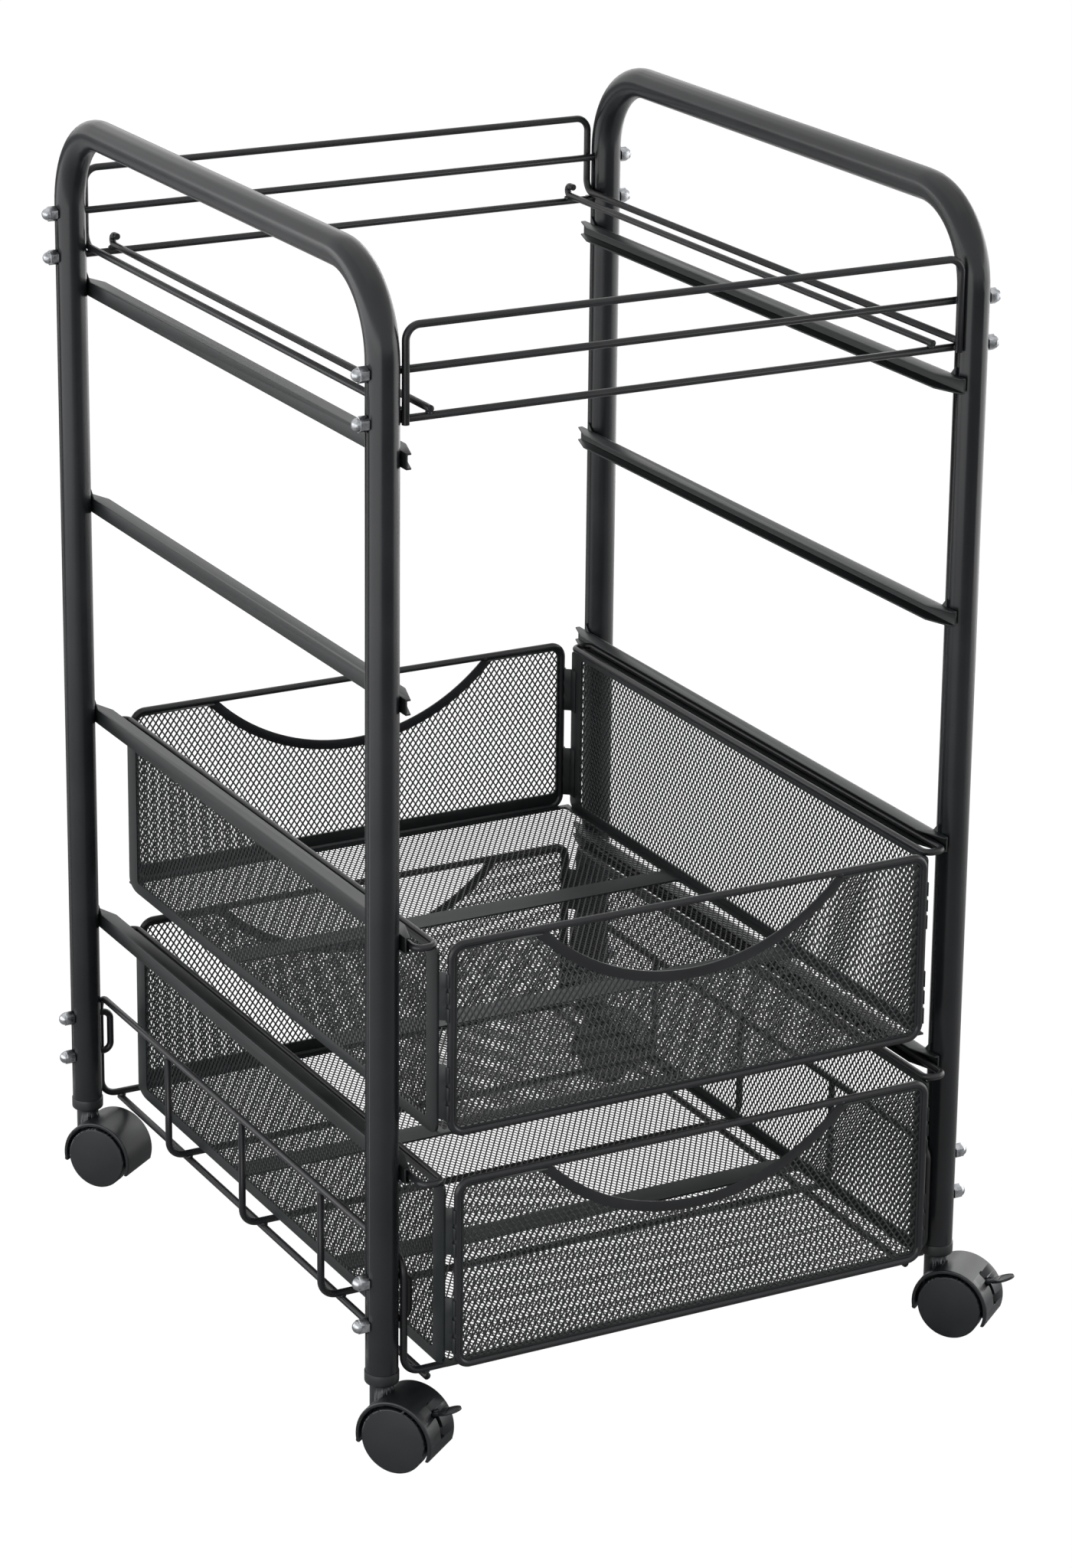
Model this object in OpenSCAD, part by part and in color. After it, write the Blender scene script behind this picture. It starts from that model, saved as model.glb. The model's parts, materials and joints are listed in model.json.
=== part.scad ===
// Mobile file cabinet: two tube side frames on casters, a wire basket for hanging files on top,
// two wire mesh drawers that slide in channel rails, and a wire base.
// Millimetres, +Z up, the front faces -Y. The floor is z = 0.

/* [Side frames] */
// Post centre to post centre, side to side
post_span_x = 364; // [356:1:420]
// Post centre to post centre, front to back
post_span_y = 416; // [396:1:480]
// Outside diameter of the side tubes
tube_d = 18.5; // [17:0.5:20]
// Wall of the side tubes
tube_wall = 1.2; // [1:0.1:1.5]
// Height of the top bars, to their centre line
bar_z = 677; // [675:1:760]
// Height of the lower ends of the posts
foot_z = 46; // [46:0.5:50]
// Bend radius of the side tubes, on the centre line
tube_bend = 50; // [40:1:52]

/* [Wire] */
// Diameter of the frame, basket and panel wires
wire_d = 4.2; // [3.8:0.1:4.6]
// Bend radius of the basket and panel wires, on the centre line
wire_bend = 8; // [6:0.5:12]
// Bend radius of the base wires, on the centre line
base_bend = 10; // [8:0.5:14]

/* [Basket] */
// Height of the hoops that stand at the front and the rear
hoop_z = 647; // [640:1:660]
// Height of the upper cross wires, which carry the upper cap nuts
upper_cross_z = 622.5; // [615:0.5:630]
// Height of the lower cross wires, which carry the lower cap nuts
lower_cross_z = 596; // [592:0.5:606]
// Distance of the rails that folders hang from inboard of the basket's side wires, between centres
file_inset = 15.7; // [6:0.1:60]
// Diameter of the rails that folders hang from
file_rail_d = 4; // [3:0.1:5]
// Height of the stop at the rear end of a folder rail
file_stop_h = 9; // [7:0.5:14]

/* [Base] */
// Height of the base side wires
base_side_z = 118; // [114:1:130]
// Height of the base cross wires
base_cross_z = 50; // [46:0.5:54]
// Spacing of the three cross wires between the side wires
base_pitch = 107; // [80:1:130]
// Distance of the long wires from the cross wires' bends
base_long_inset = 3.7; // [0:0.1:60]
// Height of the upper leg of the staples
staple_top_z = 108; // [104:1:110]
// Height of the lower leg of the staples
staple_low_z = 82; // [80:1:90]
// Reach of the staples inboard of the posts' surface, to the wire's centre
staple_reach = 7; // [7:0.5:12]

/* [Cap nuts] */
// Width of a cap nut across its flats
nut_flats = 8; // [7:0.1:9]
// Height of a cap nut's hexagon
nut_hex_h = 5; // [4:0.1:6]
// Depth of a cap nut's thread
nut_depth = 6; // [5:0.1:6.5]

/* [Rails] */
// Height of the top of the highest rails
rail_last_top = 579.8; // [560:0.1:585]
// Width of a rail
rail_w = 9; // [8:0.1:11]
// Height of a rail
rail_h = 9; // [8.5:0.1:11]
// Sheet thickness of a rail
rail_sheet = 1; // [0.8:0.1:1.2]
// Length of the narrowed ends of a rail
rail_taper = 18; // [10:1:30]
// Width of a rail at its very end
rail_end_w = 3; // [2:0.1:5]
// Height of the weld tabs on top of the rail ends
rail_tab_h = 5; // [3:0.5:8]

/* [Drawers] */
// Gap between the base's cross wires and the lower drawer's lowest wires
drawer_base_gap = 7; // [3:0.5:20]
// How far the lower drawer stands pulled out
lower_drawer_pull = 9; // [0:0.5:14]
// Gap between a rail and the drawer's side panel
drawer_side_gap = 7.6; // [6:0.1:20]
// Height of a drawer's front panel, between wire centres
drawer_h = 110; // [80:1:114]
// How far a drawer's front stands forward of the post centres
drawer_forward = 20; // [16:0.5:30]
// How far a drawer's rear panel stays inside the rear post centres
drawer_rear_gap = 8; // [4:0.5:20]
// Width of the finger scoop at the panel's top wire
scoop_w = 188; // [100:1:210]
// Depth of the finger scoop below the panel's top wire
scoop_depth = 40; // [25:1:55]
// Width of the flat strip round the finger scoop
scoop_strip_w = 6; // [4:0.5:10]
// Thickness of the flat strip round the finger scoop
scoop_strip_t = 1; // [0.8:0.1:1.6]
// Diameter of the runner wires
runner_d = 4; // [3.4:0.1:4.4]
// Gap between a runner wire and the upright wall of its rail
runner_side_gap = 1.7; // [0.5:0.1:2]
// Height of a panel's top wire above the runner wires
panel_rise = 1.5; // [0:0.1:3]
// Gap between a drawer's ears and the rail ends when it is shut
ear_gap = 2; // [0.5:0.1:3]
// Width of the upright strips at a side panel's ends
side_strip_w = 12.5; // [8:0.5:20]
// Width of the strip along the bottom of a side panel
bottom_strip_w = 7; // [4:0.5:12]
// Radius of a side panel's lower rear corner
side_corner_r = 18; // [6:1:24]
// Gap between a side panel's edge and an end panel's wire, front to back
clip_gap = 3; // [1:0.1:12]
// Thickness of the clips that stand between an end panel's wire and a side panel
clip_t = 2.9; // [2:0.1:5]
// Height of the lower clips above the panel's lower wire
clip_low_z = 8; // [8:0.5:20]
// Length of the lower clips
clip_lower_h = 32; // [15:1:36]
// Height of the upper clips above the panel's lower wire
clip_high_z = 66; // [55:0.5:70]
// Length of the upper clips
clip_upper_h = 28; // [15:1:30]

/* [Mesh] */
// Thickness of the mesh sheets
mesh_t = 0.8; // [0.6:0.1:1.2]
// Width of the strands
strand_w = 1.6; // [1:0.1:3]
// Width of a gap in the front and rear panels
end_cell_w = 36; // [24:1:60]
// Height of a gap in the front and rear panels
end_cell_h = 30; // [20:1:50]
// Width of a gap in the side panels
side_cell_w = 44; // [30:1:70]
// Height of a gap in the side panels
side_cell_h = 36; // [24:1:60]
// Width of a gap in the floor
floor_cell_w = 60; // [40:1:90]
// Length of a gap in the floor
floor_cell_l = 64; // [40:1:100]
// Width of the plain bands across the floor
floor_band_w = 18; // [10:1:30]

/* [Casters] */
// Diameter of the wheels
wheel_d = 38.5; // [36:0.5:39]
// Width of one wheel's tread
wheel_w = 8; // [6:0.5:9]
// Height of the dome on a wheel's outer face
wheel_dome = 1; // [0.5:0.1:1.5]
// Radius of the tread's edges
wheel_edge_r = 1.2; // [0.5:0.1:2]
// Distance from the swivel axis to the wheel axle
trail = 14.3; // [13:0.1:16]
// Outside radius of the hood over the wheels
hood_r = 23.2; // [22.4:0.1:23.6]
// Wall of the hood
hood_wall = 2; // [1.5:0.1:2.4]
// Thickness of the hood's middle web
web_t = 12; // [11:0.5:12.5]
// Gap between the web and each wheel
web_gap = 1.3; // [1.2:0.1:2]
// Hood edge on the side away from the swivel, in degrees above the axle
hood_low_angle = -22; // [-30:1:-10]
// Hood edge on the swivel side, in degrees
hood_high_angle = 194; // [185:1:200]
// Diameter of the hood's neck
neck_d = 13.6; // [12.5:0.1:14]
// Diameter of the swivel stem
stem_d = 8; // [7:0.1:9]
// Height that the stem reaches inside the post
stem_top_z = 73; // [66:0.5:74]
// Diameter of the axle
axle_d = 5; // [4:0.1:6]
// Length of the axle
axle_l = 26; // [22:0.5:27]
// Diameter of the collar under each post
collar_d = 19.5; // [19:0.1:22]
// Height of the collar under each post
collar_h = 7; // [5:0.5:8]
// Direction that the casters point, in degrees from +X
caster_turn = -52.7; // [-60:0.1:-45]

/* [Brake levers] */
// Distance of a lever's pivot outward from the axle
pivot_x = 9; // [8:0.1:10]
// Height of a lever's pivot above the axle
pivot_z = 9.8; // [9:0.1:11]
// Diameter of a lever's trunnions
pivot_d = 3; // [2.5:0.1:3.4]
// Slope of a raised lever, in degrees
lever_slope = 23.6; // [20:0.1:30]
// Length of a lever from its pivot to its tip
lever_l = 27.3; // [25:0.1:32]
// Length of a lever's pad
pad_l = 14.5; // [12:0.1:15]
// Width of a lever's pad
pad_w = 10; // [8:0.5:14]
// Thickness of a lever's pad
pad_t = 1.6; // [1.2:0.1:2]
// Thickness of a lever's arm
arm_t = 2.6; // [2:0.1:3]
// Gap on each side of the arm in the hood's slot
slot_gap = 0.4; // [0.3:0.1:0.8]
// Lower end of the hood's slot, in degrees about the pivot
slot_low_angle = -32; // [-36:1:-24]
// Upper end of the hood's slot, in degrees about the pivot
slot_high_angle = 62; // [50:1:66]

/* [Hidden] */
$fn = 48;

// Fits and small allowances

weld = 0.03;        // how far welded pieces sink into each other
hem_weld = 0.01;    // how far a mesh sheet's edge sinks into the wire round it
slip = 0.05;        // radial clearance of a turning or pushed-in fit
gap = 0.3;          // clearance between pieces that move past each other
butt = 0.3;         // how far a wire's flat end sinks into the round wire that it is welded to
over = 1;           // how far a cutting shape passes the surface that it cuts

// Left and right, front and rear, and the drawers' rail levels

LEFT = -1;
RIGHT = 1;
FRONT = -1;
REAR = 1;
LOWER = 1;
UPPER = 2;

// Side frames

post_x = post_span_x / 2;
post_y = post_span_y / 2;
tube_r = tube_d / 2;
tube_id = tube_d - 2 * tube_wall;
wire_r = wire_d / 2;
stud_hole_d = wire_d + 2 * slip;
stud_heights = [upper_cross_z, lower_cross_z, staple_top_z, staple_low_z];

// Upright wires lie against the inboard side of a post, clear of the wires that pass through it
leg_x = post_x - tube_r - wire_r + weld;
leg_y = post_y + wire_d - weld;

// Cap nuts screw on to the wires' ends on the outboard side of a post
nut_x = post_x + tube_r;
thread_end_x = nut_x + nut_depth - gap;
dome_inset = 0.3;
dome_r = nut_flats / 2 - dome_inset;

// Basket

side_wire_z = lower_cross_z + wire_d - weld;
file_rail_x = leg_x - file_inset;
file_rail_z = lower_cross_z + wire_r + file_rail_d / 2 - weld;
file_stop_bend = 3;
file_stop_tip = 7;

// Base

base_join_z = (base_cross_z + base_side_z) / 2;
base_long_x = leg_x - base_bend - base_long_inset;
base_long_z = base_cross_z - wire_d + weld;
staple_bend = 5;

// Rails

rail_out_x = post_x - tube_r + weld;
rail_end_y = post_y + tube_r;
rail_tab_l = 14;

// The lower drawer hangs just above the base. That gives the height of the lowest rails and the spacing of
// the others. The runner wires lie on the lower flanges of the rails

rail_levels = 4;
runner_r = runner_d / 2;
runner_drop = rail_h - rail_sheet - gap - runner_r;
rail_first_top = base_cross_z + wire_d + drawer_base_gap + drawer_h - panel_rise + runner_drop;
rail_pitch = (rail_last_top - rail_first_top) / (rail_levels - 1);
function rail_top(level) = rail_first_top + (level - 1) * rail_pitch;

// Drawers

front_y = -post_y - drawer_forward;
rear_y = post_y - drawer_rear_gap;
runner_bend = 5;
runner_x = rail_out_x - rail_sheet - runner_side_gap - runner_r;
ear_y = -rail_end_y - ear_gap - runner_r;
side_front_y = front_y + wire_r + clip_gap;
side_rear_y = rear_y - wire_r - clip_gap;
side_in_x = rail_out_x - rail_w - drawer_side_gap - mesh_t;
side_x = side_in_x + mesh_t / 2;
panel_x = side_in_x - clip_t - wire_r + weld;
clip_lap = 6;
clip_past_wire = 1;
scoop_r = (pow(scoop_w / 2, 2) + pow(scoop_depth, 2)) / (2 * scoop_depth);
function runner_z(level) = rail_top(level) - runner_drop;
function panel_top(level) = runner_z(level) + panel_rise;
function panel_low(level) = panel_top(level) - drawer_h;

// Casters, each in its own frame: the swivel axis is Z, the wheels stand towards +X, the axle lies along Y

wheel_r = wheel_d / 2;
wheel_in_y = web_t / 2 + web_gap;
wheel_out_y = wheel_in_y + wheel_w;
hub_wall = 3;
hub_r = axle_d / 2 + hub_wall;
neck_top_z = foot_z - gap;
neck_low_z = 18;
neck_floor_t = 6;
stem_low_z = neck_low_z + neck_floor_t;
socket_past_stem = 2;
socket_top_z = stem_top_z + socket_past_stem;
dome_curve_r = (pow(wheel_r - wheel_edge_r, 2) + pow(wheel_dome, 2)) / (2 * wheel_dome);
pivot_r = pivot_d / 2;
lever_hub_wall = 1.7;
lever_hub_r = pivot_r + lever_hub_wall;
trunnion_l = 9;
pad_start = lever_l - pad_l;
slot_w = arm_t + 2 * slot_gap;

// The origin is on the floor, under the middle of the cabinet's outer box. A caster's hood is a half drum,
// so the drum's corners and the front levers' tips give the box, with the cap nuts on the left

caster_cos = abs(cos(caster_turn));
caster_sin = abs(sin(caster_turn));
drum_reach_x = hood_r * caster_cos + wheel_out_y * caster_sin;
drum_reach_y = hood_r * caster_sin + wheel_out_y * caster_cos;
lever_reach = trail + pivot_x + (lever_l - pad_w / 2) * cos(lever_slope);
box_right = post_x + trail * cos(caster_turn) + drum_reach_x;
box_left = -max(nut_x + nut_hex_h + dome_r, post_x - trail * cos(caster_turn) + drum_reach_x);
box_front = -post_y + min(trail * sin(caster_turn) - drum_reach_y, lever_reach * sin(caster_turn) - pad_w / 2);
box_rear = post_y + trail * sin(caster_turn) + drum_reach_y;
centre_x = (box_left + box_right) / 2;
centre_y = (box_front + box_rear) / 2;

black = "#2e3032";
plastic = "#26282b";
zinc = "#b9bcc0";
steel = "#8d9094";

// Placing

module placed() {
    translate([-centre_x, -centre_y, 0]) children();
}

// A shape drawn flat stands up across the cabinet, in the plane of X and Z
module upright_across(y) {
    translate([0, y, 0]) rotate([90, 0, 0]) children();
}

// A shape drawn flat stands up along the cabinet, in the plane of Y and Z
module upright_along(x) {
    translate([x, 0, 0]) rotate([90, 0, 90]) children();
}

// A shape drawn for the right side goes to either side
module on_side(side) {
    if (side == LEFT) mirror([1, 0, 0]) children();
    else children();
}

module on_both_sides() {
    on_side(LEFT) children();
    on_side(RIGHT) children();
}

module at_both_ends() {
    mirror([0, 1, 0]) children();
    children();
}

// Bent wire and tube, drawn flat, with true round bends

function unit(v) = v / norm(v);
function turn(a, b) = atan2(a[0] * b[1] - a[1] * b[0], a * b);

// To a hundredth of a millimetre, so that a wire's straights and bends meet exactly
function tidy(v) = [round(v[0] * 100) / 100, round(v[1] * 100) / 100];

module section(d, bore) {
    difference() {
        circle(d = d);
        if (bore > 0) circle(d = bore);
    }
}

module straight(from, direction, length, d, bore) {
    translate(from) rotate([0, 0, atan2(direction[1], direction[0])]) rotate([0, 90, 0])
        linear_extrude(length) section(d, bore);
}

module bend(corner, direction, cut, angle, d, bore, radius) {
    side = angle > 0 ? 1 : -1;
    left = [-direction[1], direction[0]];
    middle = corner - direction * cut + left * side * radius;
    start = atan2(-left[1] * side, -left[0] * side);
    translate(middle) rotate([0, 0, angle > 0 ? start : start + angle])
        rotate_extrude(angle = abs(angle)) translate([radius, 0]) section(d, bore);
}

module bent(corners, d, radius, closed = false, bore = 0) {
    points = [for (corner = corners) tidy(corner)];
    n = len(points);
    legs = closed ? n : n - 1;
    steps = [for (i = [0:legs - 1]) unit(points[(i + 1) % n] - points[i])];
    turns = [for (i = [0:n - 1]) closed || (i > 0 && i < n - 1)
        ? turn(steps[(i - 1 + legs) % legs], steps[i % legs]) : 0];
    cuts = [for (angle = turns) radius * tan(abs(angle) / 2)];
    for (i = [0:legs - 1])
        straight(points[i] + steps[i] * cuts[i], steps[i],
            norm(points[(i + 1) % n] - points[i]) - cuts[i] - cuts[(i + 1) % n], d, bore);
    for (i = [0:n - 1]) if (turns[i] != 0)
        bend(points[i], steps[(i - 1 + legs) % legs], cuts[i], turns[i], d, bore, radius);
}

// Flat sheets with round corners and a staggered diamond mesh

module corner_waste(r) {
    difference() {
        translate([-over, -over]) square(r + over);
        translate([r, r]) circle(r);
    }
}

// A rectangle from the origin; the radii go round from its first corner
module sheet(w, h, radii) {
    difference() {
        square([w, h]);
        corner_waste(radii[0]);
        translate([w, 0]) mirror([1, 0]) corner_waste(radii[1]);
        translate([w, h]) rotate(180) corner_waste(radii[2]);
        translate([0, h]) mirror([0, 1]) corner_waste(radii[3]);
    }
}

module diamond(w, h) {
    polygon([[w / 2, 0], [0, h / 2], [-w / 2, 0], [0, -h / 2]]);
}

// The gaps of a mesh that covers w by h about the origin
module mesh_gaps(w, h, cell_w, cell_h) {
    shrink = 1 - strand_w * norm([cell_w, cell_h]) / (cell_w * cell_h);
    columns = ceil(w / cell_w / 2);
    rows = ceil(h / cell_h);
    for (row = [-rows:rows]) for (column = [-columns:columns])
        translate([(column + (row % 2 == 0 ? 0 : 0.5)) * cell_w, row * cell_h / 2])
            diamond(cell_w * shrink, cell_h * shrink);
}

// Side frames

module side_tube(side) {
    color(black) placed() on_side(side) difference() {
        upright_along(post_x)
            bent([[-post_y, foot_z + collar_h], [-post_y, bar_z], [post_y, bar_z],
                [post_y, foot_z + collar_h]], tube_d, tube_bend, bore = tube_id);
        for (y = [-post_y, post_y]) for (z = stud_heights)
            translate([post_x - tube_r - over, y, z]) rotate([0, 90, 0])
                cylinder(d = stud_hole_d, h = tube_d + 2 * over);
    }
}

// A channel, open on the inboard side, whose flanges narrow where they meet the posts
module rail(side, level) {
    top = rail_top(level);
    flange = [[rail_out_x, -rail_end_y], [rail_out_x, rail_end_y],
        [rail_out_x - rail_end_w, rail_end_y], [rail_out_x - rail_w, rail_end_y - rail_taper],
        [rail_out_x - rail_w, rail_taper - rail_end_y], [rail_out_x - rail_end_w, -rail_end_y]];
    tab = [[rail_end_y - rail_tab_l, -weld], [rail_end_y - tube_r, -weld], [rail_end_y - tube_r, rail_tab_h]];
    color(black) placed() on_side(side) {
        for (z = [top - rail_h, top - rail_sheet])
            translate([0, 0, z]) linear_extrude(rail_sheet) polygon(flange);
        translate([rail_out_x - rail_sheet, -rail_end_y, top - rail_h])
            cube([rail_sheet, 2 * rail_end_y, rail_h]);
        at_both_ends() translate([0, 0, top])
            upright_along(rail_out_x - rail_sheet) linear_extrude(rail_sheet) polygon(tab);
    }
}

// Basket for hanging files

// Straight wires through the front and the rear pairs of posts
module basket_cross_wires() {
    color(black) placed() for (y = [-post_y, post_y]) for (z = [upper_cross_z, lower_cross_z])
        translate([-thread_end_x, y, z]) rotate([0, 90, 0]) cylinder(d = wire_d, h = 2 * thread_end_x);
}

module basket_front_hoop() {
    low = lower_cross_z - wire_r;
    color(black) placed() upright_across(-leg_y)
        bent([[-leg_x, low], [-leg_x, hoop_z], [leg_x, hoop_z], [leg_x, low]], wire_d, wire_bend);
}

// The rear hoop's legs turn forward and run to the front hoop as the basket's sides
module basket_rear_hoop() {
    join_z = side_wire_z + wire_bend + wire_r;
    color(black) placed() {
        upright_across(leg_y)
            bent([[-leg_x, join_z], [-leg_x, hoop_z], [leg_x, hoop_z], [leg_x, join_z]], wire_d, wire_bend);
        on_both_sides() upright_along(leg_x)
            bent([[leg_y, join_z], [leg_y, side_wire_z], [wire_r - butt - leg_y, side_wire_z]],
                wire_d, wire_bend);
    }
}

// A rail that folders hang from, with a stop at its rear end
module file_rail(side) {
    top = file_rail_z + file_stop_h;
    color(black) placed() on_side(side) upright_along(file_rail_x)
        bent([[-post_y - wire_r, file_rail_z], [post_y, file_rail_z], [post_y, top],
            [post_y - file_stop_tip, top]], file_rail_d, file_stop_bend);
}

// Base

// One wire round the base: across at the front and the rear, up beside each post and along each side
module base_perimeter_wire() {
    color(black) placed() {
        for (y = [-leg_y, leg_y]) upright_across(y)
            bent([[-leg_x, base_join_z], [-leg_x, base_cross_z], [leg_x, base_cross_z],
                [leg_x, base_join_z]], wire_d, base_bend);
        on_both_sides() upright_along(leg_x)
            bent([[-leg_y, base_join_z], [-leg_y, base_side_z], [leg_y, base_side_z],
                [leg_y, base_join_z]], wire_d, base_bend);
    }
}

module base_cross_wires() {
    top = base_side_z - wire_r + butt;
    color(black) placed() for (i = [-1:1]) upright_across(i * base_pitch)
        bent([[-leg_x, top], [-leg_x, base_cross_z], [leg_x, base_cross_z], [leg_x, top]],
            wire_d, base_bend);
}

module base_long_wires() {
    end_y = leg_y + wire_r;
    color(black) placed() on_both_sides()
        translate([base_long_x, -end_y, base_long_z]) rotate([-90, 0, 0])
            cylinder(d = wire_d, h = 2 * end_y);
}

// Staples through the posts hold the base wire; their ends carry the lower cap nuts
module base_staples() {
    in_x = post_x - tube_r - staple_reach;
    color(black) placed() on_both_sides() for (y = [-post_y, post_y]) upright_across(y)
        bent([[thread_end_x, staple_top_z], [in_x, staple_top_z], [in_x, staple_low_z],
            [thread_end_x, staple_low_z]], wire_d, staple_bend);
}

// Fasteners, sockets and stems

module cap_nut() {
    difference() {
        union() {
            cylinder(d = nut_flats / cos(30), h = nut_hex_h, $fn = 6);
            translate([0, 0, nut_hex_h]) intersection() {
                sphere(dome_r);
                cylinder(r = dome_r + over, h = dome_r + over);
            }
        }
        translate([0, 0, -over]) cylinder(d = stud_hole_d, h = nut_depth + over);
    }
}

module cap_nuts() {
    color(zinc) placed() on_both_sides() for (y = [-post_y, post_y]) for (z = stud_heights)
        translate([nut_x, y, z]) rotate([0, 90, 0]) cap_nut();
}

// A sleeve pushed into the post's lower end, with a collar that covers the cut end
module stem_socket() {
    collar_edge = 1.5;
    difference() {
        union() {
            translate([0, 0, foot_z]) rotate_extrude() {
                square([collar_d / 2 - collar_edge, collar_h]);
                translate([0, collar_edge]) square([collar_d / 2, collar_h - collar_edge]);
                translate([collar_d / 2 - collar_edge, collar_edge]) circle(collar_edge);
            }
            translate([0, 0, foot_z + collar_h - over])
                cylinder(d = tube_id - 2 * slip, h = socket_top_z - foot_z - collar_h + over);
        }
        translate([0, 0, foot_z - over]) cylinder(d = stem_d + 2 * slip, h = socket_top_z - foot_z + 2 * over);
    }
}

module at_posts() {
    for (x = [-post_x, post_x]) for (y = [-post_y, post_y]) translate([x, y, 0]) children();
}

module stem_sockets() {
    color(plastic) placed() at_posts() stem_socket();
}

// A pin with a groove near each end, for the rings that hold it
module caster_stem() {
    groove_w = 1.2;
    groove_depth = 0.6;
    groove_in = 4;
    difference() {
        translate([0, 0, stem_low_z]) cylinder(d = stem_d, h = stem_top_z - stem_low_z);
        for (z = [stem_low_z + groove_in, stem_top_z - groove_in - groove_w]) translate([0, 0, z]) difference() {
            cylinder(d = stem_d + over, h = groove_w);
            translate([0, 0, -over]) cylinder(d = stem_d - 2 * groove_depth, h = groove_w + 2 * over);
        }
    }
}

module caster_stems() {
    color(steel) placed() at_posts() caster_stem();
}

// Drawers

// The middle of the circle that the finger scoop follows, above a panel whose lower wire is at height 0
function scoop_middle() = drawer_h + scoop_r - scoop_depth;

module in_drawer(level) {
    placed() translate([0, level == LOWER ? -lower_drawer_pull : 0, 0]) children();
}

// The wire round a front or rear panel, with the flat strip round its finger scoop
module end_frame(end, level) {
    y = end == FRONT ? front_y : rear_y;
    color(black) in_drawer(level) translate([0, 0, panel_low(level)]) {
        upright_across(y)
            bent([[-panel_x, 0], [panel_x, 0], [panel_x, drawer_h], [-panel_x, drawer_h]],
                wire_d, wire_bend, closed = true);
        upright_across(y + scoop_strip_t / 2) linear_extrude(scoop_strip_t) intersection() {
            translate([0, scoop_middle()]) difference() {
                circle(scoop_r + scoop_strip_w, $fn = 180);
                circle(scoop_r, $fn = 180);
            }
            translate([-panel_x, 0]) square([2 * panel_x, drawer_h]);
        }
    }
}

// The mesh sheet inside that wire; the rear one has a wider band along its lower edge
module end_mesh(end, level) {
    y = end == FRONT ? front_y : rear_y;
    w = 2 * (panel_x - wire_r + hem_weld);
    h = drawer_h - wire_d + 2 * hem_weld;
    corner = wire_bend - wire_r;
    side_band = 2;
    low_band = end == FRONT ? side_band : bottom_strip_w;
    color(black) in_drawer(level) translate([0, 0, panel_low(level)])
        upright_across(y + mesh_t / 2) linear_extrude(mesh_t) difference() {
            translate([-w / 2, wire_r - hem_weld]) sheet(w, h, [corner, corner, corner, corner]);
            translate([0, scoop_middle()]) circle(scoop_r + scoop_strip_w, $fn = 180);
            intersection() {
                translate([-w / 2 + side_band, wire_r + low_band])
                    square([w - 2 * side_band, h - low_band - side_band]);
                difference() {
                    translate([0, drawer_h / 2]) mesh_gaps(w, h, end_cell_w, end_cell_h);
                    translate([0, scoop_middle()]) circle(scoop_r + scoop_strip_w + side_band, $fn = 180);
                }
            }
        }
}

// A side panel: a mesh sheet with plain strips at its ends and along its lower edge
module side_panel(side, level) {
    l = side_rear_y - side_front_y;
    low = panel_low(level) - wire_r;
    h = runner_z(level) - runner_r + weld - low;
    top_band = 3;
    color(black) in_drawer(level) on_side(side) translate([0, side_front_y, low])
        upright_along(side_in_x) linear_extrude(mesh_t) difference() {
            sheet(l, h, [wire_bend, side_corner_r, wire_r, wire_r]);
            intersection() {
                translate([side_strip_w, bottom_strip_w])
                    sheet(l - 2 * side_strip_w, h - bottom_strip_w - top_band, [1, wire_bend, 1, 1]);
                translate([l / 2, h / 2]) mesh_gaps(l, h, side_cell_w, side_cell_h);
            }
        }
}

// The floor: a mesh sheet with plain bands across it
module drawer_floor(level) {
    start_y = front_y + wire_r - weld;
    l = rear_y - front_y - wire_d + 2 * weld;
    w = 2 * side_in_x;
    edge_band = 4;
    color(black) in_drawer(level) translate([0, start_y + l / 2, panel_low(level) - mesh_t / 2])
        linear_extrude(mesh_t) difference() {
            square([w, l], center = true);
            difference() {
                intersection() {
                    square([w - 2 * edge_band, l - 2 * edge_band], center = true);
                    mesh_gaps(w, l, floor_cell_w, floor_cell_l);
                }
                for (y = [-l / 6, l / 6]) translate([0, y]) square([w, floor_band_w], center = true);
            }
        }
}

// One closed wire along a side panel's top: it stands out at both ends and runs in the rail between them
module runner(side, level) {
    color(black) in_drawer(level) on_side(side) translate([0, 0, runner_z(level)])
        bent([[side_x, ear_y], [runner_x, ear_y], [runner_x, side_rear_y], [side_x, side_rear_y]],
            runner_d, runner_bend, closed = true);
}

// Flat clips that join the side panels to the front and rear panels
module clips(level) {
    l = clip_past_wire + wire_r + clip_gap + clip_lap;
    color(black) in_drawer(level) translate([0, 0, panel_low(level)]) on_both_sides() {
        for (y = [front_y - clip_past_wire, side_rear_y - clip_lap]) {
            translate([side_in_x - clip_t, y, clip_low_z]) cube([clip_t, l, clip_lower_h]);
            translate([side_in_x - clip_t, y, clip_high_z]) cube([clip_t, l, clip_upper_h]);
        }
    }
}

// Casters

module at_caster(side, end) {
    translate([side * post_x, end * post_y, 0]) rotate([0, 0, caster_turn]) children();
}

// A shape drawn flat stands up in the plane of the wheel, with the wheel's middle at the origin
module in_wheel_plane() {
    translate([trail, 0, wheel_r]) rotate([90, 0, 0]) children();
}

module sector(r, from, to) {
    middle = (from + to) / 2;
    reach = 2 * r;
    intersection() {
        circle(r, $fn = 96);
        polygon([[0, 0], for (a = [from, (from + middle) / 2, middle, (middle + to) / 2, to])
            [reach * cos(a), reach * sin(a)]]);
    }
}

module slab(t) {
    linear_extrude(t, center = true) children();
}

// The slot that a brake lever swings in
module lever_slot() {
    reach = 2 * hood_r;
    translate([pivot_x, pivot_z]) {
        circle(lever_hub_r + slot_gap);
        polygon([[0, -pivot_r], for (a = [slot_low_angle, 0, slot_high_angle])
            [reach * cos(a), reach * sin(a)], [0, pivot_r]]);
    }
}

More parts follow.
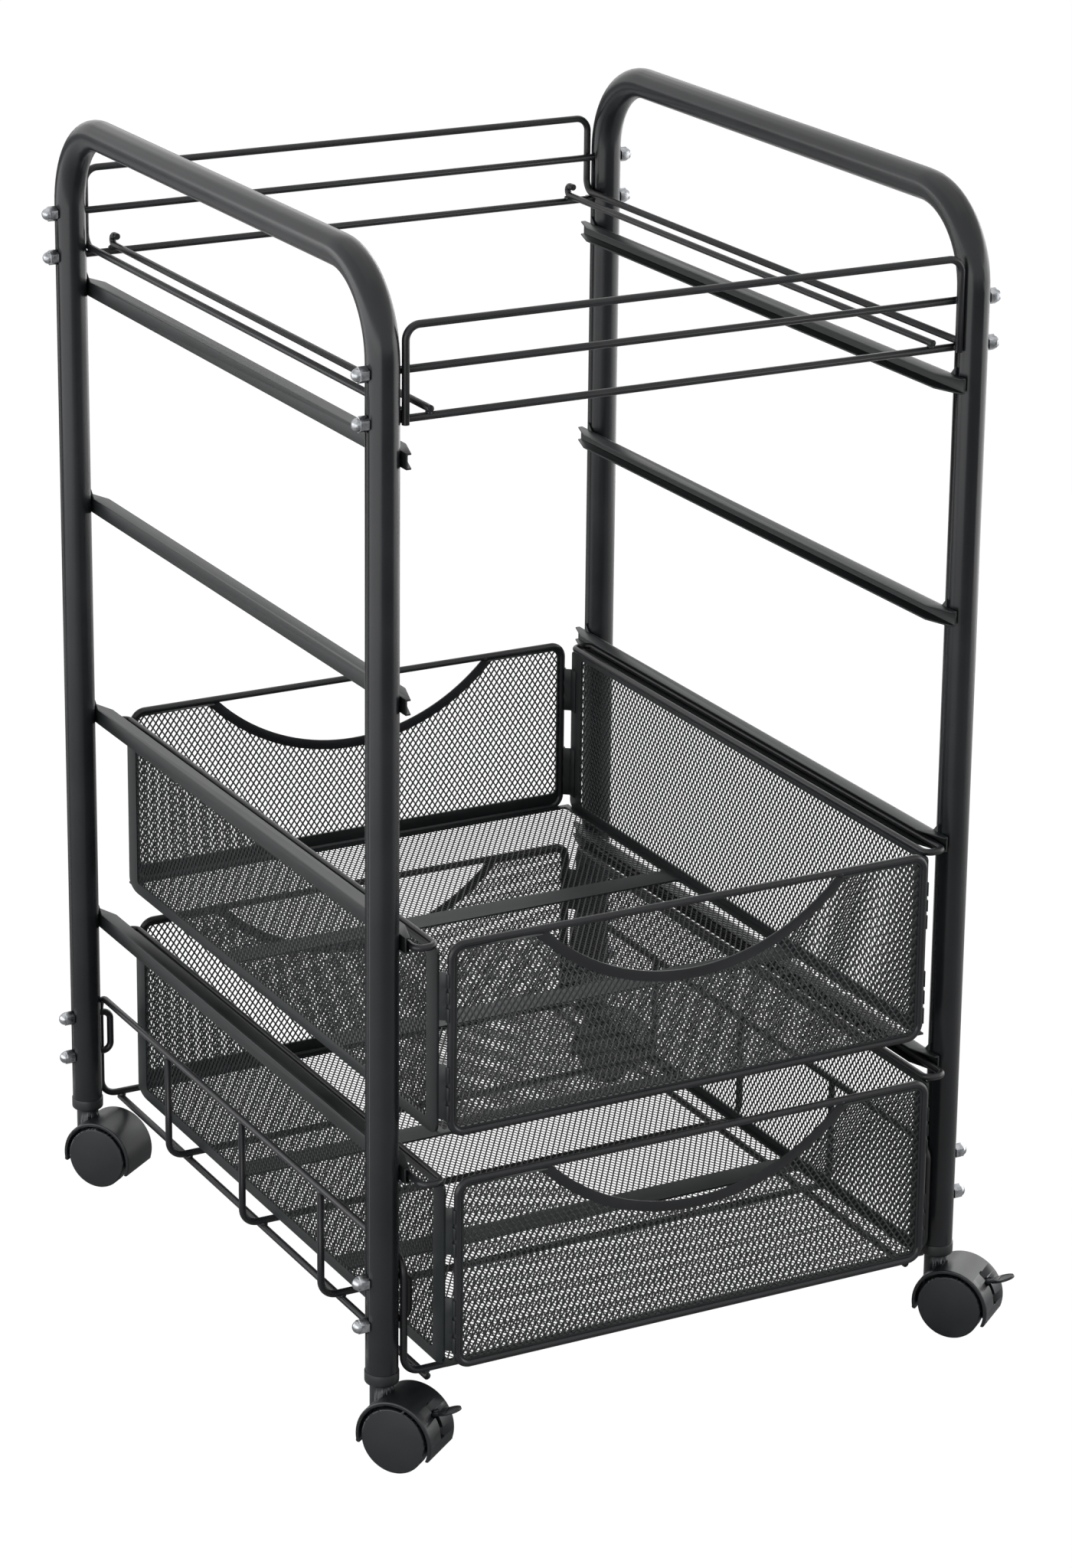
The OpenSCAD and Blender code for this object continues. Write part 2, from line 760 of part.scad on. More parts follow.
module hood(side, end) {
    braked = end == FRONT;
    color(plastic) placed() at_caster(side, end) difference() {
        union() {
            in_wheel_plane() {
                slab(web_t) sector(hood_r, hood_low_angle, hood_high_angle);
                slab(web_t) circle(hub_r);
                slab(2 * wheel_out_y) difference() {
                    sector(hood_r, hood_low_angle, hood_high_angle);
                    circle(hood_r - hood_wall, $fn = 96);
                }
            }
            translate([0, 0, neck_low_z]) cylinder(d = neck_d, h = neck_top_z - neck_low_z);
        }
        translate([0, 0, stem_low_z - gap])
            cylinder(d = stem_d + 2 * slip, h = neck_top_z - stem_low_z + gap + over);
        in_wheel_plane() cylinder(d = axle_d + 2 * slip, h = web_t + 2 * over, center = true);
        if (braked) in_wheel_plane() {
            slab(slot_w) lever_slot();
            translate([pivot_x, pivot_z]) cylinder(r = pivot_r + slip, h = trunnion_l + 2 * gap, center = true);
        }
    }
}

module axle(side, end) {
    color(steel) placed() at_caster(side, end) in_wheel_plane() cylinder(d = axle_d, h = axle_l, center = true);
}

// Half of a wheel's section, from its inner face at height 0, with a slightly domed outer face
module wheel_section() {
    recess_depth = 3.5;
    rim_t = 3;
    difference() {
        union() {
            square([wheel_r - wheel_edge_r, wheel_w]);
            translate([0, wheel_edge_r]) square([wheel_r, wheel_w - 2 * wheel_edge_r]);
            for (z = [wheel_edge_r, wheel_w - wheel_edge_r])
                translate([wheel_r - wheel_edge_r, z]) circle(wheel_edge_r);
            intersection() {
                translate([0, wheel_w / 2]) square([wheel_r, wheel_w]);
                translate([0, wheel_w + wheel_dome - dome_curve_r]) circle(dome_curve_r, $fn = 720);
            }
        }
        translate([hub_r, -over]) square([wheel_r - rim_t - hub_r, recess_depth + over]);
        translate([-over, -over]) square([axle_d / 2 + slip + over, axle_l / 2 - wheel_in_y + gap + over]);
    }
}

// An outer wheel is on the side of the caster that faces away from the cabinet's middle
module wheel(side, end, outer) {
    away = outer == (side == RIGHT);
    color(plastic) placed() at_caster(side, end) translate([trail, 0, wheel_r])
        rotate([away ? -90 : 90, 0, 0]) translate([0, 0, wheel_in_y]) rotate_extrude() wheel_section();
}

// A pedal on two trunnions: pressing it down wedges the wheels
module brake_lever(side) {
    arm_top = pad_t / 2;
    arm_low = -lever_hub_r;
    arm_end = pad_start + pad_t;
    color(plastic) placed() at_caster(side, FRONT) in_wheel_plane() translate([pivot_x, pivot_z]) {
        cylinder(r = pivot_r, h = trunnion_l, center = true);
        rotate([0, 0, lever_slope]) {
            slab(arm_t) {
                circle(lever_hub_r);
                polygon([[0, arm_low], [arm_end, -pad_t / 2], [arm_end, arm_top], [0, arm_top]]);
            }
            translate([0, pad_t / 2, 0]) rotate([90, 0, 0]) linear_extrude(pad_t) {
                translate([pad_start, -pad_w / 2]) square([pad_l - pad_w / 2, pad_w]);
                translate([lever_l - pad_w / 2, 0]) circle(d = pad_w);
            }
        }
    }
}

side_tube(LEFT);  // left_side_tube
side_tube(RIGHT);  // right_side_tube
rail(LEFT, 1);  // left_rail_1
rail(LEFT, 2);  // left_rail_2
rail(LEFT, 3);  // left_rail_3
rail(LEFT, 4);  // left_rail_4
rail(RIGHT, 1);  // right_rail_1
rail(RIGHT, 2);  // right_rail_2
rail(RIGHT, 3);  // right_rail_3
rail(RIGHT, 4);  // right_rail_4
basket_front_hoop();
basket_rear_hoop();
basket_cross_wires();
file_rail(LEFT);  // left_file_rail
file_rail(RIGHT);  // right_file_rail
base_perimeter_wire();
base_cross_wires();
base_long_wires();
base_staples();
cap_nuts();
stem_sockets();
caster_stems();
end_frame(FRONT, UPPER);  // upper_front_frame
end_mesh(FRONT, UPPER);  // upper_front_mesh
end_frame(REAR, UPPER);  // upper_rear_frame
end_mesh(REAR, UPPER);  // upper_rear_mesh
side_panel(LEFT, UPPER);  // upper_left_panel
side_panel(RIGHT, UPPER);  // upper_right_panel
drawer_floor(UPPER);  // upper_floor
runner(LEFT, UPPER);  // upper_left_runner
runner(RIGHT, UPPER);  // upper_right_runner
clips(UPPER);  // upper_clips
end_frame(FRONT, LOWER);  // lower_front_frame
end_mesh(FRONT, LOWER);  // lower_front_mesh
end_frame(REAR, LOWER);  // lower_rear_frame
end_mesh(REAR, LOWER);  // lower_rear_mesh
side_panel(LEFT, LOWER);  // lower_left_panel
side_panel(RIGHT, LOWER);  // lower_right_panel
drawer_floor(LOWER);  // lower_floor
runner(LEFT, LOWER);  // lower_left_runner
runner(RIGHT, LOWER);  // lower_right_runner
clips(LOWER);  // lower_clips
hood(LEFT, FRONT);  // front_left_hood
axle(LEFT, FRONT);  // front_left_axle
wheel(LEFT, FRONT, outer = false);  // front_left_inner_wheel
wheel(LEFT, FRONT, outer = true);  // front_left_outer_wheel
hood(RIGHT, FRONT);  // front_right_hood
axle(RIGHT, FRONT);  // front_right_axle
wheel(RIGHT, FRONT, outer = false);  // front_right_inner_wheel
wheel(RIGHT, FRONT, outer = true);  // front_right_outer_wheel
hood(LEFT, REAR);  // rear_left_hood
axle(LEFT, REAR);  // rear_left_axle
wheel(LEFT, REAR, outer = false);  // rear_left_inner_wheel
wheel(LEFT, REAR, outer = true);  // rear_left_outer_wheel
hood(RIGHT, REAR);  // rear_right_hood
axle(RIGHT, REAR);  // rear_right_axle
wheel(RIGHT, REAR, outer = false);  // rear_right_inner_wheel
wheel(RIGHT, REAR, outer = true);  // rear_right_outer_wheel
brake_lever(LEFT);  // front_left_brake_lever
brake_lever(RIGHT);  // front_right_brake_lever
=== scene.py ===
"""The looks of an open mobile file cabinet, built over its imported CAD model.

The CAD nodes give every place and size. Smooth, edge-rounded copies of them carry the finishes, and the
expanded steel mesh of the drawers, its folded hems and the small details are modelled here.
Lengths are in metres. A name that ends in _mm or _MM holds millimetres, and one in _deg or _DEG degrees.
"""

from __future__ import annotations

import json
import logging
import math
from dataclasses import dataclass, field, replace
from enum import Enum
from typing import Any, Callable, Iterable, Optional

import bpy
from mathutils import Matrix, Vector

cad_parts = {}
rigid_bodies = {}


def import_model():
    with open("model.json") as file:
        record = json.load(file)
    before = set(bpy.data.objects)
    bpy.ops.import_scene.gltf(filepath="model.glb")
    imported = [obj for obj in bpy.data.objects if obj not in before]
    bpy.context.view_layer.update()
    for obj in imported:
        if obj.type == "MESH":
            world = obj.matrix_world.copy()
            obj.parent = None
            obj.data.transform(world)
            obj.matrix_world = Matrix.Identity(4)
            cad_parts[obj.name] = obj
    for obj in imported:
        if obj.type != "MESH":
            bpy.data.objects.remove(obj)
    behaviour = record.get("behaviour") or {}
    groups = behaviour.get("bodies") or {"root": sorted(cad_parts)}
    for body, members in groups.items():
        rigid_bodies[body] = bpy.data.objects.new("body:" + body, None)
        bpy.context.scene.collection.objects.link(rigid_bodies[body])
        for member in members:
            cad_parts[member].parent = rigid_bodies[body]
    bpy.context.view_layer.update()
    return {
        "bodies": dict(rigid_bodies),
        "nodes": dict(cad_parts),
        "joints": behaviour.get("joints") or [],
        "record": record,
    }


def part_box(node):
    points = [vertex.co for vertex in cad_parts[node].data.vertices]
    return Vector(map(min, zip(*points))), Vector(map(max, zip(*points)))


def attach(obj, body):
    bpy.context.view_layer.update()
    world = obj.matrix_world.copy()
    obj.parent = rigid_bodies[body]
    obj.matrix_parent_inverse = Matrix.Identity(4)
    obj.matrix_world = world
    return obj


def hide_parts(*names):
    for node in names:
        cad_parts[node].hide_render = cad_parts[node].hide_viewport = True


log = logging.getLogger("file_cabinet")

Piece = bpy.types.Object
Socket = bpy.types.NodeSocket
Tree = bpy.types.NodeTree
Pair = tuple[float, float]
Triple = tuple[float, float, float]
Test = Callable[[Vector], bool]

MM = 0.001
PHOTO_WIDTH = 1400
PHOTO_HEIGHT = 2048
SENSOR_MM = 36.0
WHITE = (1.0, 1.0, 1.0, 1.0)
WIRE_R_MM = 2.1
RAIL_PAIRS = 4
SAME_MM = 0.01  # places closer than this count as one place
CAD_MERGE_MM = 0.002  # corners of a CAD mesh closer than this are one corner
FLAT_DEG = 1.0  # faces that meet at less than this are one flat face
SMOOTH_DEG = 32.0  # sharper edges of a copied piece stay sharp, or are rounded
MOULD_DEG = 40.0  # the same for a clip and a brake lever
FOLD_DEG = 50.0  # the same for a folded sheet


def linear(hex_code: str) -> tuple[float, float, float, float]:
    """Turns an sRGB hex colour, such as "#2e3032", to linear red, green and blue and an alpha of 1."""
    parts = [int(hex_code.lstrip("#")[i:i + 2], 16) / 255 for i in (0, 2, 4)]
    red, green, blue = [c / 12.92 if c <= 0.04045 else ((c + 0.055) / 1.055) ** 2.4 for c in parts]
    return red, green, blue, 1.0


def empty_tree(owner: bpy.types.Material | bpy.types.World) -> Tree:
    """Gives a material or a world an empty node tree, and returns the tree."""
    owner.use_nodes = True
    owner.node_tree.nodes.clear()
    return owner.node_tree


def add_node(tree: Tree, kind: str, settings: Optional[dict[str, Any]] = None,
             links: Optional[dict[str, Socket]] = None) -> bpy.types.Node:
    """Adds a shader node.

    Args:
        tree: The node tree that gets the node.
        kind: The node's Blender type.
        settings: Values for its attributes, or for its inputs where no attribute has the name.
        links: Output sockets of other nodes, by the name of the input that they feed.

    Returns:
        The new node.
    """
    node = tree.nodes.new(kind)
    for name, value in (settings or {}).items():
        if name in node.inputs:
            node.inputs[name].default_value = value
        else:
            setattr(node, name, value)
    for name, source in (links or {}).items():
        tree.links.new(source, node.inputs[name])
    return node


def add_texture(tree: Tree, kind: str, output: str, size_mm: float, detail: float) -> Socket:
    """Adds a texture of a size and a detail that keeps its place on the piece, and returns an output of it."""
    place = add_node(tree, "ShaderNodeTexCoord")
    made = add_node(tree, kind, {"Scale": 1 / (size_mm * MM), "Detail": detail},
                    {"Vector": place.outputs["Object"]})
    return made.outputs[output]


def add_math(tree: Tree, operation: str, first: Socket, second: Socket | float) -> Socket:
    """Adds a math node on an output and on another or a number, and returns its own output."""
    made = add_node(tree, "ShaderNodeMath", {"operation": operation})
    tree.links.new(first, made.inputs[0])
    if isinstance(second, float):
        made.inputs[1].default_value = second
    else:
        tree.links.new(second, made.inputs[1])
    return made.outputs["Value"]


def add_mix(tree: Tree, share: Socket, first: Socket, second: Socket) -> Socket:
    """Adds a mix of two shaders, where share is the second one's, and returns its output."""
    made = add_node(tree, "ShaderNodeMixShader", links={"Fac": share})
    tree.links.new(first, made.inputs[1])
    tree.links.new(second, made.inputs[2])
    return made.outputs["Shader"]


@dataclass(frozen=True)
class Kind:
    """What the finishes of one kind share.

    Attributes:
        ramp: The two densities of cloud between which the shade changes.
        rub: What thin and dense clouds add to the roughness.
        grain: The grain's texture node and the output that gives its height.
        shader: The name and value of an input of the shader.
    """

    cloud_mm: float
    cloud_detail: float
    ramp: Pair
    rub: Pair
    grain: tuple[str, str]
    grain_mm: float
    grain_detail: float
    grain_depth_mm: float
    grain_strength: float
    shader: tuple[str, float]


@dataclass(frozen=True)
class Finish:
    """A finish: soft clouds move its shade and its gloss a little, and a finer grain gives its relief."""

    kind: Kind
    name: str
    shade: str
    light_shade: str
    roughness: float

    def material(self) -> bpy.types.Material:
        """Makes the material, or returns the one that is already there."""
        made = bpy.data.materials.get(self.name)
        if made is not None:
            return made
        made = bpy.data.materials.new(self.name)
        tree, kind = empty_tree(made), self.kind
        cloud = add_texture(tree, "ShaderNodeTexNoise", "Fac", kind.cloud_mm, kind.cloud_detail)
        tone = add_node(tree, "ShaderNodeValToRGB", links={"Fac": cloud})
        for stop, position, shade in zip(tone.color_ramp.elements, kind.ramp, (self.shade, self.light_shade)):
            stop.position = position
            stop.color = linear(shade)
        thin, dense = [self.roughness + change for change in kind.rub]
        gloss = add_node(tree, "ShaderNodeMapRange", {"To Min": thin, "To Max": dense}, {"Value": cloud})
        height = add_texture(tree, *kind.grain, kind.grain_mm, kind.grain_detail)
        bump = add_node(tree, "ShaderNodeBump", {"Strength": kind.grain_strength,
                                                 "Distance": kind.grain_depth_mm * MM}, {"Height": height})
        skin = add_node(tree, "ShaderNodeBsdfPrincipled", dict([kind.shader]),
                        {"Base Color": tone.outputs["Color"], "Roughness": gloss.outputs["Result"],
                         "Normal": bump.outputs["Normal"]})
        add_node(tree, "ShaderNodeOutputMaterial", links={"Surface": skin.outputs["BSDF"]})
        return made


# baked polyester powder on steel: satin, with a faint orange peel and slight shade changes
POWDER = Kind(cloud_mm=45.0, cloud_detail=3.0, ramp=(0.35, 0.68), rub=(-0.04, 0.05),
              grain=("ShaderNodeTexNoise", "Fac"), grain_mm=1.1, grain_detail=2.0, grain_depth_mm=0.005,
              grain_strength=0.5, shader=("IOR", 1.45))
# injection-moulded nylon: near black, with a fine spark-eroded grain that breaks up its gloss
NYLON = Kind(cloud_mm=14.0, cloud_detail=2.0, ramp=(0.0, 1.0), rub=(-0.05, 0.06),
             grain=("ShaderNodeTexVoronoi", "Distance"), grain_mm=0.45, grain_detail=0.0, grain_depth_mm=0.010,
             grain_strength=0.35, shader=("IOR", 1.53))
# bright zinc or ground steel: metallic, with fine turning marks and cloudy spots in its gloss
METAL = Kind(cloud_mm=3.0, cloud_detail=4.0, ramp=(0.3, 0.6), rub=(-0.06, 0.1),
             grain=("ShaderNodeTexNoise", "Fac"), grain_mm=0.35, grain_detail=1.0, grain_depth_mm=0.006,
             grain_strength=0.25, shader=("Metallic", 1.0))

TUBE_COAT = Finish(POWDER, "powder_coated_tube", "#222427", "#2a2c2f", 0.24)
RAIL_COAT = Finish(replace(POWDER, grain_depth_mm=0.003), "powder_coated_rail", "#1a1d1e", "#202425", 0.42)
WIRE_COAT = Finish(POWDER, "powder_coated_wire", "#222326", "#2a2b2e", 0.34)
MESH_COAT = Finish(replace(POWDER, grain_mm=0.8), "powder_coated_mesh", "#171a1b", "#202425", 0.40)
STRIP_COAT = Finish(POWDER, "powder_coated_strip", "#1f2324", "#272c2d", 0.40)
CASTER_NYLON = Finish(NYLON, "moulded_nylon", "#14171a", "#1b1e22", 0.38)
SOCKET_NYLON = Finish(NYLON, "moulded_nylon_socket", "#202224", "#26282a", 0.36)
WHEEL_NYLON = Finish(NYLON, "moulded_nylon_wheel", "#1c1f23", "#24272b", 0.42)
ZINC_PLATE = Finish(METAL, "bright_zinc_plate", "#85888c", "#b4b6b9", 0.26)
GROUND_STEEL = Finish(METAL, "ground_steel", "#85888c", "#a7aaae", 0.30)


def leave_edit() -> None:
    """Leaves edit mode."""
    bpy.ops.object.mode_set(mode="OBJECT")


def deselect_all() -> None:
    """Leaves edit mode and selects nothing, so that the next operator acts on its own piece alone."""
    if bpy.context.object is not None and bpy.context.object.mode != "OBJECT":
        leave_edit()
    bpy.ops.object.select_all(action="DESELECT")


def make_active(piece: Piece) -> None:
    """Selects one piece and makes it the active one."""
    deselect_all()
    piece.select_set(True)
    bpy.context.view_layer.objects.active = piece


def edit_all(piece: Piece) -> None:
    """Enters edit mode with all of a piece selected."""
    make_active(piece)
    bpy.ops.object.mode_set(mode="EDIT")
    bpy.ops.mesh.select_all(action="SELECT")


def add(operator: Callable[..., Any], **settings: Any) -> Piece:
    """Adds a primitive shape with one of Blender's operators, and returns it."""
    deselect_all()
    operator(**settings)
    return bpy.context.object


def settle(piece: Piece, place: Optional[Matrix] = None) -> None:
    """Moves a piece's place, turn and scale, or those of a matrix, into its mesh."""
    if place is not None:
        piece.matrix_world = place
    make_active(piece)
    bpy.ops.object.transform_apply(location=True, rotation=True, scale=True)


def thicken(piece: Piece, thickness_mm: float) -> None:
    """Adds the modifier that gives a flat piece its thickness, half of it to each side."""
    wall = piece.modifiers.new("wall", "SOLIDIFY")
    wall.thickness = thickness_mm * MM
    wall.offset = 0.0


def bevel(piece: Piece, width_mm: float, angle_deg: float, segments: int = 2) -> None:
    """Adds the modifier that rounds those edges of a piece that are sharper than an angle."""
    edge = piece.modifiers.new("edge", "BEVEL")
    edge.width = width_mm * MM
    edge.segments = segments
    edge.limit_method = "ANGLE"
    edge.angle_limit = math.radians(angle_deg)


def apply_modifiers(piece: Piece) -> None:
    """Applies every modifier of a piece, in order."""
    make_active(piece)
    for modifier in list(piece.modifiers):
        bpy.ops.object.modifier_apply(modifier=modifier.name)


def smooth(piece: Piece, angle_deg: float = SMOOTH_DEG) -> None:
    """Shades a piece smooth, with its sharper edges kept sharp."""
    make_active(piece)
    bpy.ops.object.shade_smooth_by_angle(angle=math.radians(angle_deg))


def mount(piece: Piece, body: str, finish: Finish, replaced: Iterable[str] = ()) -> None:
    """Finishes a piece and lets it ride on its body.

    Args:
        piece: The piece, in place.
        body: The CAD body that it moves with.
        finish: Its finish.
        replaced: CAD nodes that it stands for.
    """
    piece.data.materials.clear()
    piece.data.materials.append(finish.material())
    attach(piece, body)
    if replaced:
        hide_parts(*replaced)
    log.info("%s rides on %s, %d faces", piece.name, body, len(piece.data.polygons))


def merged_copy(frame: dict[str, Any], node: str, name: str, round_mm: float = 0.0) -> Piece:
    """Copies a CAD node as a joined mesh with smooth curved faces, and with its sharp edges rounded.

    Args:
        node: The CAD node.
        name: The new piece's name.
        round_mm: The width of the rounding on sharp edges, or 0 for none.

    Returns:
        The new piece, with its place in its mesh.
    """
    piece = bpy.data.objects.new(name, frame["nodes"][node].data.copy())
    bpy.context.scene.collection.objects.link(piece)
    edit_all(piece)
    bpy.ops.mesh.remove_doubles(threshold=CAD_MERGE_MM * MM)
    if round_mm:
        bpy.ops.mesh.dissolve_limited(angle_limit=math.radians(FLAT_DEG))
    leave_edit()
    if round_mm:
        bevel(piece, round_mm, SMOOTH_DEG)
        apply_modifiers(piece)
    smooth(piece)
    return piece


def select_where(piece: Piece, kind: str, test: Test) -> None:
    """Enters edit mode with only those faces, edges or corners selected whose place passes a test.

    Args:
        piece: The piece.
        kind: "FACE", "EDGE" or "VERT".
        test: Tells from a face's or an edge's middle or a corner's place whether it is selected.
    """
    make_active(piece)
    bpy.ops.object.mode_set(mode="EDIT")
    bpy.ops.mesh.select_all(action="DESELECT")
    bpy.ops.mesh.select_mode(type=kind)
    leave_edit()
    mesh = piece.data
    if kind == "FACE":
        for face in mesh.polygons:
            face.select = test(face.center)
    elif kind == "EDGE":
        for edge in mesh.edges:
            first, second = [mesh.vertices[index].co for index in edge.vertices]
            edge.select = test((first + second) / 2)
    else:
        for corner in mesh.vertices:
            corner.select = test(corner.co)
    bpy.ops.object.mode_set(mode="EDIT")


def delete_faces(piece: Piece, test: Test) -> None:
    """Deletes the faces whose middle passes a test."""
    select_where(piece, "FACE", test)
    bpy.ops.mesh.delete(type="FACE")
    leave_edit()


def round_edges(piece: Piece, test: Test, radius_mm: float, segments: int = 4) -> None:
    """Rounds the edges whose middle passes a test."""
    select_where(piece, "EDGE", test)
    bpy.ops.mesh.bevel(affect="EDGES", offset=radius_mm * MM, segments=segments, clamp_overlap=False)
    leave_edit()


def cut_away(piece: Piece, cutter: Piece) -> None:
    """Cuts one piece's shape out of another, and removes the first."""
    cut = piece.modifiers.new("cut", "BOOLEAN")
    cut.operation = "DIFFERENCE"
    cut.object = cutter
    apply_modifiers(piece)
    bpy.data.objects.remove(cutter, do_unlink=True)


def join(name: str, pieces: list[Piece]) -> Piece:
    """Joins pieces, each with its place in its mesh, into the first of them, which gets the name."""
    deselect_all()
    for piece in pieces:
        piece.select_set(True)
    bpy.context.view_layer.objects.active = pieces[0]
    bpy.ops.object.join()
    pieces[0].name = name
    return pieces[0]


@dataclass(frozen=True)
class Rect:
    """A rectangle in a flat piece's own X and Y, in metres."""

    left: float
    right: float
    low: float
    high: float

    @property
    def size(self) -> Pair:
        """Its sizes along X and Y."""
        return self.right - self.left, self.high - self.low

    @property
    def middle(self) -> Vector:
        """Its middle."""
        return Vector(((self.left + self.right) / 2, (self.low + self.high) / 2, 0.0))

    @property
    def sides(self) -> tuple[tuple[Triple, Triple], ...]:
        """A place on each side, with the direction that leads out of the rectangle there."""
        return (((self.left, 0, 0), (-1, 0, 0)), ((self.right, 0, 0), (1, 0, 0)),
                ((0, self.low, 0), (0, -1, 0)), ((0, self.high, 0), (0, 1, 0)))

    def grown(self, by: float) -> Rect:
        """The rectangle that is larger on every side by a length."""
        return Rect(self.left - by, self.right + by, self.low - by, self.high + by)

    def holds(self, at: Vector) -> bool:
        """Tells whether a place is inside it."""
        return self.left < at.x < self.right and self.low < at.y < self.high

    def corner_at(self, at: Vector) -> Optional[int]:
        """Tells which corner a place is, counted round from the lower left, or None."""
        corners = (self.left, self.low), (self.right, self.low), (self.right, self.high), (self.left, self.high)
        near = (index for index, (x, y) in enumerate(corners)
                if max(abs(at.x - x), abs(at.y - y)) < SAME_MM * MM)
        return next(near, None)


@dataclass
class FoldedSheet:
    """Plain sheet steel round a mesh window, folded over to a rounded hem."""

    thickness_mm: float = 1.6
    edge_mm: float = 0.6
    edge_steps: int = 3
    corner_steps: int = 6

    def ring(self, name: str, outline: Rect, windows: list[Rect], radii_mm: tuple[float, ...],
             window_radius_mm: float) -> Piece:
        """Makes a flat ring in the plane of X and Y, with round corners and rounded edges.

        Args:
            name: The piece's name.
            outline: Its outline.
            windows: The openings in it, inside the outline.
            radii_mm: The outline's corner radii, round from the lower left. Where it is empty they stay sharp.
            window_radius_mm: The corner radius of the openings.

        Returns:
            The ring, with its thickness.
        """
        piece = add(bpy.ops.mesh.primitive_plane_add, size=1.0)
        piece.name = name
        settle(piece, Matrix.Translation(outline.middle) @ Matrix.Diagonal((*outline.size, 1.0, 1.0)))
        edit_all(piece)
        for window in windows:
            for place, outward in window.sides:
                bpy.ops.mesh.select_all(action="SELECT")
                bpy.ops.mesh.bisect(plane_co=place, plane_no=[abs(part) for part in outward])
        leave_edit()
        delete_faces(piece, lambda at: any(window.holds(at) for window in windows))
        for index, radius in enumerate(radii_mm):
            self.round_corners(piece, lambda at, index=index: outline.corner_at(at) == index, radius)
        for window in windows:
            self.round_corners(piece, lambda at, window=window: window.corner_at(at) is not None, window_radius_mm)
        thicken(piece, self.thickness_mm)
        bevel(piece, self.edge_mm, FOLD_DEG, self.edge_steps)
        apply_modifiers(piece)
        smooth(piece, FOLD_DEG)
        return piece

    def round_corners(self, piece: Piece, test: Test, radius_mm: float) -> None:
        """Rounds the corners of a flat piece that pass a test."""
        select_where(piece, "VERT", test)
        bpy.ops.mesh.bevel(affect="VERTICES", offset=radius_mm * MM, segments=self.corner_steps)
        leave_edit()


@dataclass
class WeldBeads:
    """Small uneven blobs of weld under the coat, where wires cross or end on each other."""

    radius_mm: float = 2.5
    subdivisions: int = 3
    width: float = 0.9
    flatness: float = 0.72
    size_change: float = 0.12
    size_step_rad: float = 2.4
    dent: float = 0.09
    dent_waves_per_m: Pair = (2300.0, 1900.0)
    turn_step_rad: float = 1.7
    lean_rad: float = 0.4

    def build(self, name: str, places: list[Vector]) -> Piece:
        """Makes a bead about each place, each of a slightly different size and turn, and joins them."""
        beads = []
        wave_x, wave_z = self.dent_waves_per_m
        for index, place in enumerate(places):
            bead = add(bpy.ops.mesh.primitive_ico_sphere_add, subdivisions=self.subdivisions,
                       radius=self.radius_mm * MM)
            size = 1.0 + self.size_change * math.sin(self.size_step_rad * index)
            for corner in bead.data.vertices:
                x, _, z = corner.co
                corner.co *= 1.0 + self.dent * math.sin(wave_x * x + index) * math.cos(wave_z * z - index)
            turn = (Matrix.Rotation(self.turn_step_rad * index, 4, "Z")
                    @ Matrix.Rotation(self.lean_rad * math.sin(index), 4, "X"))
            settle(bead, Matrix.Translation(place) @ turn
                   @ Matrix.Diagonal((size, size * self.width, size * self.flatness, 1.0)))
            beads.append(bead)
        piece = join(name, beads)
        make_active(piece)
        bpy.ops.object.shade_smooth()
        return piece


@dataclass
class FoldedClip:
    """A clip of folded strip: flat on a side panel, with knuckles that hook round an end panel's wire."""

    sheet_mm: float = 0.9
    edge_mm: float = 0.2
    lap_mm: float = 6.0
    past_mm: float = 0.4
    slot_mm: float = 2.6
    from_deg: float = 62.0
    to_deg: float = -38.0
    steps: int = 7
    flat_columns: int = 2

    def build(self, name: str, wire: Vector, panel: Vector, low: float, high: float) -> Piece:
        """Makes one clip.

        A flat grid is laid along the clip's path, its slots are cut, and it gets its thickness.

        Args:
            name: The piece's name.
            wire: The middle of the end panel's wire.
            panel: The side panel's nearest edge, on its inner face.
            low: The height of the clip's lower end.
            high: The height of its upper end.

        Returns:
            The clip.
        """
        out = math.copysign(1.0, panel.x - wire.x)
        inward = math.copysign(1.0, panel.y - wire.y)
        reach = (WIRE_R_MM + self.sheet_mm / 2) * MM
        flat = panel.x - out * self.sheet_mm * MM / 2
        path = [Vector((flat, panel.y + inward * self.lap_mm * MM)),
                Vector((flat, panel.y - inward * self.past_mm * MM))]
        for step in range(self.steps + 1):
            angle = math.radians(self.from_deg + (self.to_deg - self.from_deg) * step / self.steps)
            path.append(Vector((wire.x + out * reach * math.cos(angle), wire.y + inward * reach * math.sin(angle))))
        half_slot = self.slot_mm * MM / 2
        third = (high - low) / 3
        levels = [low, low + third - half_slot, low + third + half_slot, high - third - half_slot,
                  high - third + half_slot, high]
        columns, rows = len(path) - 1, len(levels) - 1
        piece = add(bpy.ops.mesh.primitive_grid_add, x_subdivisions=columns, y_subdivisions=rows, size=1.0)
        piece.name = name
        delete_faces(piece, lambda at: (at.x + 0.5) * columns > self.flat_columns
                     and int((at.y + 0.5) * rows) % 2 == 1)
        for corner in piece.data.vertices:
            column, row = round((corner.co.x + 0.5) * columns), round((corner.co.y + 0.5) * rows)
            corner.co = (path[column].x, path[column].y, levels[row])
        thicken(piece, self.sheet_mm)
        bevel(piece, self.edge_mm, FOLD_DEG)
        apply_modifiers(piece)
        smooth(piece, MOULD_DEG)
        return piece


